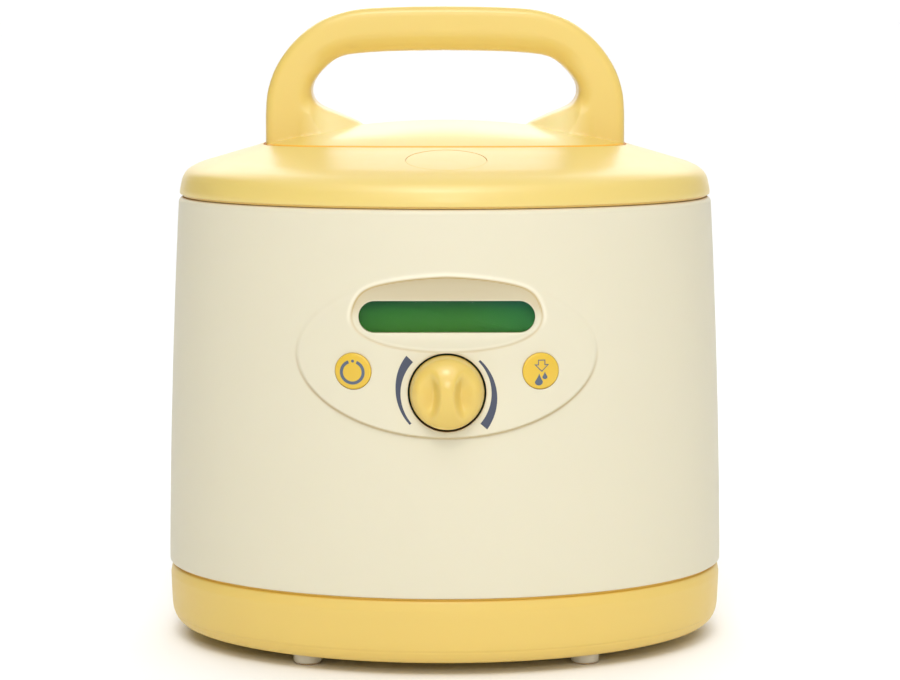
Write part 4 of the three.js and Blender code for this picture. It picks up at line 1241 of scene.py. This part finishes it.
def make_membranes():
    for n, s in (("left", -1), ("right", 1)):
        prof = [(0, 157.0), (13.6, 157.0), (14.6, 156.9)] + catmull([(15.4, 156.5), (17.2, 155.2), (19.4, 153.9), (21.6, 153.3)], 4) + [(22.4, 153.2), (28.3, 153.2), (28.5, 153.4), (28.5, 154.4), (28.3, 154.6), (23.4, 154.6)]
        prof += catmull([(22.8, 154.65), (21.0, 155.1), (19.2, 156.2), (17.4, 157.3), (15.9, 157.95)], 4) + [(15.2, 158.15), (14.4, 158.2), (12.6, 158.2), (12.2, 158.0), (11.6, 157.85), (11.0, 158.0), (10.6, 158.2), (5.0, 158.2), (4.4, 157.9), (0, 157.85)]
        vs, faces = lathe(prof, s * 38, -5, 96)
        ob = raw("membrane_" + n, vs, faces)
        ob.data.materials.append(M["rubber"])
        finish_shading(ob, 50)
        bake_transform(ob)
        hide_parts("membrane_" + n)
        ring = [(23.9, 154.9), (30.4, 154.9), (30.6, 155.1), (30.6, 156.5), (30.3, 156.95), (29.8, 157.25), (29.2, 157.4), (25.0, 157.4), (24.3, 157.2), (23.95, 156.7), (23.8, 156.0), (23.8, 155.0), (23.9, 154.9)]
        vs, faces = lathe(ring, s * 38, -5, 96)
        ob = raw("membrane_ring_" + n, vs, faces)
        notches = []
        for k in range(6):
            a = math.radians(30 + 60 * k)
            notches.append(tube_between((s * 38 + 30.9 * math.cos(a), -5 + 30.9 * math.sin(a), 154), (s * 38 + 30.9 * math.cos(a), -5 + 30.9 * math.sin(a), 158.5), 1.5, 24))
        boolean(ob, notches)
        finished(ob, "housing_body", "membrane_ring_" + n, M["housing"], 40)


make_membranes()


def make_hinge():
    b = block(-20.5, 20.5, 56, 66.8, 153.2, 155.2, "hinge_bracket")
    boolean(b, [block(-20.5, 20.5, 66.5, 71.4, 150.2, 157.8), prism(circle(4.0, 48, 76, 153.6), -10, 10, "x", "knuckle"), block(-10, 10, 71, 76, 150.4, 156.8)], "UNION")
    sub = [prism(circle(1.8, 32, 76, 153.6), -30, 30, "x", "pin")]
    for x, y in ((-13, 61), (13, 61)):
        sub.append(prism(circle(1.9, 28, x, y), 150, 160, "z", "h"))
    boolean(b, sub)
    bevelled(b, 0.35, 2, 50)
    finished(b, "housing_body", "hinge_bracket", M["deck"], 30)
    pin = prism(circle(1.5, 40, 76, 153.6), -20.2, 20.2, "x", "hinge_pin")
    bevelled(pin, 0.35, 3, 50)
    finished(pin, "housing_body", "hinge_pin", M["steel"], 40)
    k = prism(rounded_rect(-13, 13, -71.2, -65.3, 1.0), 153.2, 154.4, "z", "latch_keeper")
    boolean(k, [prism(rounded_rect(-3, 3, -74, -70, 0.5), 150, 158, "z", "notch")])
    bevelled(k, 0.2, 2, 50)
    finished(k, "housing_body", "latch_keeper", M["steel"], 30)


make_hinge()


# ------------------------------------------------------------------------------------------------ rear: inlet, card
def make_rear():
    b = prism(rounded_rect(-14, 14, 36.8, 56, 1.3), 60, 76.8, "y", "mains_inlet")
    boolean(b, [prism(rounded_rect(-13, 13, 39, 54, 1.0), 57.5, 60.5, "y", "back")], "UNION")
    sub = [prism(stadium(8.3, 4.3, 46.4, 20), 62.5, 90, "y", "mouth")]
    for x in (-3.5, 3.5):
        sub.append(prism(circle(1.5, 24, x, 46.4), 50, 66, "y", "pin"))
    # a shallow step round the mouth
    sub.append(prism(stadium(10.4, 6.2, 46.4, 24), 76.2, 90, "y", "step"))
    boolean(b, sub)
    bevelled(b, 0.25, 2, 50)
    finished(b, "housing_body", "mains_inlet", M["black"], 30)
    for n, x in (("left", -3.5), ("right", 3.5)):
        prof = [(0, 55.0), (0.9, 55.0), (1.2, 55.3), (1.2, 71.6), (1.05, 72.4), (0.7, 72.85), (0, 73.0)]
        vs, faces = lathe([(r, z) for r, z in prof], 0, 0, 28)
        vs = [(x + a, c, 46.4 + b2) for a, b2, c in vs]
        finished(raw("inlet_pin_" + n, vs, faces), "housing_body", "inlet_pin_" + n, M["brass"], 40)
    c = prism(rounded_rect(-26, 26, 42, 71.5, 1.2), 116.4, 123.8, "z", "card_connector")
    boolean(c, [block(-22.6, 22.6, 46, 75, 118.9, 121.3)])
    bevelled(c, 0.3, 2, 50)
    finished(c, "housing_body", "card_connector", M["black"], 30)
    p = prism(rounded_rect(-21.5, 21.5, 46.4, 77.5, 1.5), 119.3, 120.9, "z", "program_card")
    bevelled(p, 0.25, 2, 50)
    g = prism(rounded_rect(-22, 22, 74.6, 81.2, 2.0), 118.3, 121.9, "z", "grip")
    bevelled(g, 0.5, 3, 50)
    boolean(p, [g], "UNION")
    grooves = []
    for i in range(-5, 6):
        grooves.append(tube_between((i * 2.4 - 0.01, 81.9, 117), (i * 2.4, 81.9, 123), 1.0, 20))
    boolean(p, grooves)
    finished(p, "card", "program_card", M["card"], 35)


make_rear()


# ------------------------------------------------------------------------------------------------ lid
REL_Y, REL_Z, REL_R, REL_SLOPE = -50.6, 174.47, 13.95, math.radians(11.6)


def lid_rows():
    """The outside of the lid from its rim up to the seat of the handle, as rings."""
    pts = [(95.3, 77.2, 160.6, 2), (95.25, 77.15, 161.8, 2), (94.85, 76.75, 163.8, 2), (94.3, 75.95, 165.9, 2), (93.2, 74.4, 167.9, 2), (91.1, 71.4, 169.7, 2), (87.4, 65.9, 171.45, 2.02), (82.6, 58.9, 172.9, 2.12),
           (77.6, 51.3, 174.35, 2.3), (72.4, 43.8, 175.85, 2.55), (68.2, 37.8, 177.05, 2.8), (65.45, 34.05, 177.98, 3)]
    return [[float(v) for v in p] for p in catmull(pts, 5)]


def seat_height(x, y):
    """The height of the lid's front slope under the release button, from its rings."""
    rows = lid_rows()
    best = None
    for (a0, b0, z0, p0), (a1, b1, z1, p1) in zip(rows, rows[1:]):
        f0 = (abs(x) / a0) ** p0 + (abs(y) / b0) ** p0
        f1 = (abs(x) / a1) ** p1 + (abs(y) / b1) ** p1
        if f0 <= 1 <= f1:
            g0, g1 = 1 - f0, f1 - 1
            best = z0 + (z1 - z0) * g0 / max(1e-9, g0 + g1)
    return best


def slope_slab(r, z0, z1, n=96, name="slab"):
    """A round piece seen from above whose two faces lie along the slope of the lid."""
    outline = circle(r, n, 0, REL_Y)
    vs = []
    for dz in (z0, z1):
        for x, y in outline:
            vs.append((x, y, REL_Z + math.tan(REL_SLOPE) * (y - REL_Y) + dz / math.cos(REL_SLOPE)))
    m = len(outline)
    faces = [tuple(range(m)), tuple(range(2 * m - 1, m - 1, -1))]
    for i in range(m):
        j = (i + 1) % m
        faces.append((i, j, m + j, m + i))
    return raw(name, vs, faces)


def make_lid():
    rows = [[0, 0, 176.5, 3], [40, 20, 176.5, 3], [65.05, 33.65, 176.5, 3], [65.05, 33.65, 177.7, 3], [65.15, 33.75, 177.95, 3]] + lid_rows()[::-1]
    rows += [[95.2, 77.15, 160.3, 2], [94.9, 76.9, 160.1, 2], [92.9, 75.1, 160.1, 2], [92.7, 74.9, 160.25, 2]]
    rows += [[float(v) for v in p] for p in catmull([(92.6, 74.8, 160.4, 2), (92.2, 74.3, 164.6, 2), (91.4, 72.9, 166.3, 2), (90, 70.6, 167.4, 2), (86, 64.4, 169, 2), (78, 52.4, 171.4, 2.25), (65, 34, 174.1, 2.8)], 4)]
    rows += [[40, 20, 174.2, 2.8], [0, 0, 174.2, 2.8]]
    ob = ring_solid("lid", rows, 224)
    add = []
    boolean(ob, [slope_slab(REL_R + 0.08, -12, 9, 128), slope_slab(REL_R + 2.2, -12, -2.9, 64)])
    for s in (-1, 1):
        x0, x1, x2, x3 = (-18, -16.4, -18, -13) if s < 0 else (16.4, 18, 13, 18)
        r = block(x0, x1, -60, -29.6, 158.6, 171.2)
        add += [r, block(x2, x3, -60, -36, 158.6, 159.8)]
    add.append(block(-18, 18, -31, -29.6, 160, 174.6))
    # a low step just inside the lower edge, on the front and the sides
    step = ring_solid("step", [[92.9, 75.1, 159.45, 2], [94.1, 76.15, 159.45, 2], [94.2, 76.25, 159.6, 2], [94.2, 76.25, 160.7, 2], [92.9, 75.1, 160.7, 2], [92.9, 75.1, 159.45, 2]], 224)
    boolean(step, [block(-110, 110, 40, 110, 150, 170)])
    add.append(step)
    for s in (-1, 1):
        x0 = -20.5 if s < 0 else 10.5
        add += [prism(circle(4.0, 48, 76, 153.6), x0, x0 + 10, "x", "lug"), block(x0, x0 + 10, 73.2, 78.2, 153.6, 160.4)]
    boolean(ob, add, "UNION")
    sub = [prism(circle(1.8, 32, 76, 153.6), -30, 30, "x", "pin")]
    for x in (-40, 40):
        sub.append(prism(circle(1.9, 28, x, 0), 160, 180, "z", "h"))
    for s in (-1, 1):
        sub.append(prism(circle(4.2, 40, 24, 159.25), min(s * 84, s * 99), max(s * 84, s * 99), "x", "port"))
    boolean(ob, sub)
    finished(ob, "lid_assembly", "lid", M["lid"], 28)


make_lid()


def make_release():
    n = 128
    radii = [0, 2, 4, 6, 8, 10, 11.6, 12.8, 13.4, 13.7, 13.85, 13.93, 13.95]
    drops = [0, 0, 0, 0, 0, 0, 0, 0, 0.01, 0.03, 0.08, 0.15, 0.25]
    vs, at = [], []

    def top(x, y, k):
        z = seat_height(x, y)
        return (z if z is not None else REL_Z + math.tan(REL_SLOPE) * (y - REL_Y)) - 0.03 - k

    for r, k in zip(radii, drops):
        if r == 0:
            at.append(("p", 0))
            vs.append((0, REL_Y, top(0, REL_Y, k)))
            continue
        at.append(("r", len(vs)))
        for j in range(n):
            t = 2 * math.pi * j / n
            x, y = r * math.cos(t), REL_Y + r * math.sin(t)
            vs.append((x, y, top(x, y, k)))
    low = []
    for r, dz in ((13.95, -3.4), (15.3, -3.4), (15.45, -3.55), (15.45, -4.7), (15.3, -4.8), (11.8, -4.8), (11.8, -2.2)):
        at.append(("r", len(vs)))
        for j in range(n):
            t = 2 * math.pi * j / n
            x, y = r * math.cos(t), REL_Y + r * math.sin(t)
            vs.append((x, y, REL_Z + math.tan(REL_SLOPE) * (y - REL_Y) + dz / math.cos(REL_SLOPE)))
    at.append(("p", len(vs)))
    vs.append((0, REL_Y, REL_Z - 2.2))
    faces = []
    for (ka, a), (kb, b) in zip(at, at[1:]):
        for j in range(n):
            k = (j + 1) % n
            if ka == "p":
                faces.append((a, b + j, b + k))
            elif kb == "p":
                faces.append((a + j, b, a + k))
            else:
                faces.append((a + j, b + j, b + k, a + k))
    ob = raw("release_button", vs, faces)
    stem = prism([(-54, 172.4), (-46.5, 174.0), (-46.5, 168.8), (-51.2, 163.4), (-54, 163.4)], -3, 3, "x", "stem")
    boolean(ob, [stem], "UNION")
    finished(ob, "lid_button", "release_button", M["lid"], 34)


make_release()


def make_latch():
    b = block(-16, 16, -60, -36, 160.2, 162.4, "latch_slider")
    boolean(b, [block(-5.5, 5.5, -62.6, -59.5, 150.6, 162.4), block(-5.5, 5.5, -65, -62.2, 150.6, 152.8), block(-5, 5, -37.2, -36, 161, 169)], "UNION")
    boolean(b, [prism(rounded_rect(-3.6, 3.6, -58, -51.8, 0.8), 150, 170, "z", "slot")])
    boolean(b, [prism([(-51.8, 162.2), (-46.8, 168), (-43.5, 168), (-43.5, 162.2)], -3, 3, "x", "ramp")], "UNION")
    bevelled(b, 0.25, 2, 50)
    finished(b, "lid_latch", "latch_slider", M["grey"], 30)


make_latch()


# ------------------------------------------------------------------------------------------------ handle
class Lookup:
    """A field of two coordinates worked out once on a grid and read back between its points."""

    def __init__(self, fn, u0, u1, v0, v1, h):
        self.u0, self.v0, self.h = u0, v0, h
        u, v = np.arange(u0, u1 + h, h), np.arange(v0, v1 + h, h)
        U, V = np.meshgrid(u, v, indexing="ij")
        self.g = fn(U, V)

    def __call__(self, u, v):
        a = np.clip((u - self.u0) / self.h, 0, self.g.shape[0] - 1.001)
        b = np.clip((v - self.v0) / self.h, 0, self.g.shape[1] - 1.001)
        i, j = a.astype(int), b.astype(int)
        fa, fb = a - i, b - j
        g = self.g
        return (g[i, j] * (1 - fa) + g[i + 1, j] * fa) * (1 - fb) + (g[i, j + 1] * (1 - fa) + g[i + 1, j + 1] * fa) * fb


def make_handle():
    out = [(63.85, 165), (63.85, 178), (63.85, 184), (63.8, 189), (63.4, 195), (62.25, 200), (60.5, 204.6), (57.95, 209), (54.4, 213.6), (49.75, 218), (43.85, 221.9), (37.4, 224.4), (29.7, 226.0), (16, 226.75), (0, 226.95)]
    half = catmull(out, 5)
    outer = half + [(-x, z) for x, z in half[:-1]][::-1]
    ins = [(14, 168), (15, 174), (17, 178), (20, 180.3), (24, 182.4), (27, 184.0), (30, 185.5), (36.4, 188.3), (42.4, 190.6), (45.3, 192.2), (47.0, 194.4), (47.55, 196.9), (47.1, 199.4), (45.7, 201.9), (43.6, 204.4), (40.6, 207.1), (37.2, 209.0), (32, 210.1), (20, 210.95), (0, 211.3)]
    hin = catmull(ins, 5)
    inner = hin + [(-x, z) for x, z in hin[:-1]][::-1]
    d_out = Lookup(lambda u, v: poly_sdf(u, v, outer), -2, 72, 170, 232, 0.4)
    d_in = Lookup(lambda u, v: poly_sdf(u, v, inner), -2, 72, 170, 232, 0.4)

    def rounded(q1, q2, r):
        a, b = q1 + r, q2 + r
        return np.minimum(np.maximum(a, b), 0) + np.sqrt(np.maximum(a, 0) ** 2 + np.maximum(b, 0) ** 2) - r

    def f(x, y, z):
        X, Y = np.abs(x), np.abs(y)
        do, di = d_out(X, z), -d_in(X, z)
        w = smooth((di - do) / 8.0 + 0.5)
        foot = smooth((200.0 - z) / 9.0)  # the flared feet under the opening
        t = np.clip((X - 25.3) / 24.0, 0, 1)
        lean = 0.36 * smooth((53 - X) / 9)  # the feet lean out towards the lid
        top = np.interp(X, [20, 24, 30, 36.4, 42.4, 46, 48], [180.3, 182.4, 185.5, 188.3, 190.6, 193.2, 197.0])
        depth = 13.0 + foot * (13.0 * (1 - (1 - t) ** 1.7) - 2.2 * smooth((53 - X) / 9) + lean * np.clip(top - z, 0, 20) - 13.0)
        depth = np.minimum(depth, 13.25)
        r_in = 5.2 + 2.6 * smooth((z - 202) / 8) - 2.6 * foot * smooth((50 - X) / 6)
        r = 2.9 + (r_in - 2.9) * w
        flank = (Y - depth) * (1 - 0.14 * foot * smooth((50 - X) / 8))
        bow = rounded(np.maximum(do, di), flank, r)
        body = np.maximum(bow, 24.5 - X - 40.0 * smooth((z - 196) / 4))
        # dome
        a, b = 64.6, 33.2
        r3 = ((X / a) ** 3 + (Y / b) ** 3) ** (1 / 3) + 1e-9
        gx = (X / a) ** 2 / a / r3 ** 2
        gy = (Y / b) ** 2 / b / r3 ** 2
        side = (r3 - 1) / np.maximum(np.sqrt(gx ** 2 + gy ** 2), 1e-3)
        r2 = np.sqrt((X / a) ** 2 + (Y / b) ** 2)
        rho = r2 + (r3 - r2) * smooth((r3 - 0.35) / 0.5)
        top = (z - (178.1 + 8.2 * (1 - np.clip(rho, 0, 1.2) ** 2))) * 0.93
        dome = rounded(top, side, 0.45)
        s = smin(body, dome, 0.55)
        # keep the legs on the dome's own foot print at the seam
        s = np.maximum(s, np.where(z < 178.2, side, -9.0))
        s = np.maximum(s, 176.8 - z)
        return s

    P, Q = surface_nets(f, (-66.0, -34.6, 175.6), (66.0, 34.6, 228.2), 0.74)
    P[:, 2] = np.maximum(P[:, 2], 176.8)
    ob = raw("handle", P, Q)
    boolean(ob, [prism(circle(1.5, 24, -40, 0), 170, 181.6, "z", "h1"), prism(circle(1.5, 24, 40, 0), 170, 181.6, "z", "h2")])
    finished(ob, "lid_assembly", "handle", M["handle"], 42)
    # painted highlight: the dome and the flared feet below the opening are painted lighter, fading out towards the
    # outer sides of the legs and upwards
    co = np.empty(len(ob.data.vertices) * 3)
    ob.data.vertices.foreach_get("co", co)
    co = co.reshape(-1, 3) * 1000.0
    aw = np.clip(0.62 * smooth((52 - np.abs(co[:, 0])) / 12) * smooth((196 - co[:, 2]) / 6), 0, 1)
    at = ob.data.attributes.new("painted_light", "FLOAT", "POINT")
    at.data.foreach_set("value", aw.astype(np.float32))


make_handle()


# ------------------------------------------------------------------------------------------------ latch spring
def make_spring():
    coil = []
    n, turns = 220, 3.0
    for i in range(n + 1):
        a = 2 * math.pi * turns * i / n
        coil.append(Vector((2.2 * math.cos(a), -35.4 + 3.8 * i / n, 165.4 + 2.2 * math.sin(a))))
    vs, m = [], 12
    for i, p in enumerate(coil):
        t = (coil[min(i + 1, n)] - coil[max(i - 1, 0)]).normalized()
        u = Vector((0, 1, 0)).cross(t).normalized()
        v = t.cross(u)
        for k in range(m):
            a = 2 * math.pi * k / m
            vs.append(tuple(p + (u * math.cos(a) + v * math.sin(a)) * 0.29))
    faces = grid_faces(n + 1, m)
    faces += [tuple(range(m)), tuple(n * m + k for k in range(m - 1, -1, -1))]
    ob = finished(raw("latch_spring_coil", vs, faces), "lid_assembly", "latch_spring", M["steel"], 60)
    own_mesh(ob)  # a mesh of its own, not shared


make_spring()


# ------------------------------------------------------------------------------------------------ finishes of the pieces kept from the CAD model
KEPT = {
    "encoder_body": "encoder", "power_switch": "black", "letdown_switch": "black", "encoder_shaft": "steel", "display_board": "board", "power_supply": "board", "main_board": "board", "battery_pack": "black",
    "chassis": "grey", "yoke": "grey", "piston_left": "grey", "piston_right": "grey", "motor": "steel", "screw_bearing": "steel", "guide_rod_left": "steel", "guide_rod_right": "steel", "drive_screw": "steel",
    "motor_pulley": "steel", "drive_pulley": "black", "screw_nut": "brass", "timing_belt": "belt",
}
OTHER = {
    "housing": "housing", "base_tray": "yellow", "display_window": "window", "lcd_module": "lcd", "mains_inlet": "black", "inlet_pin_left": "brass", "inlet_pin_right": "brass", "card_connector": "black", "deck": "deck",
    "membrane_left": "rubber", "membrane_right": "rubber", "membrane_ring_left": "housing", "membrane_ring_right": "housing", "latch_keeper": "steel", "hinge_bracket": "deck", "hinge_pin": "steel", "lid": "yellow",
    "handle": "handle", "release_button": "yellow", "latch_slider": "grey", "power_button": "button", "letdown_button": "button", "knob": "knob", "program_card": "card",
}
for node_name, ob in NODES.items():
    key = KEPT.get(node_name) or OTHER.get(node_name) or ("foot" if node_name.startswith("foot_") else "steel")
    for s in ob.material_slots:
        s.material = M[key]
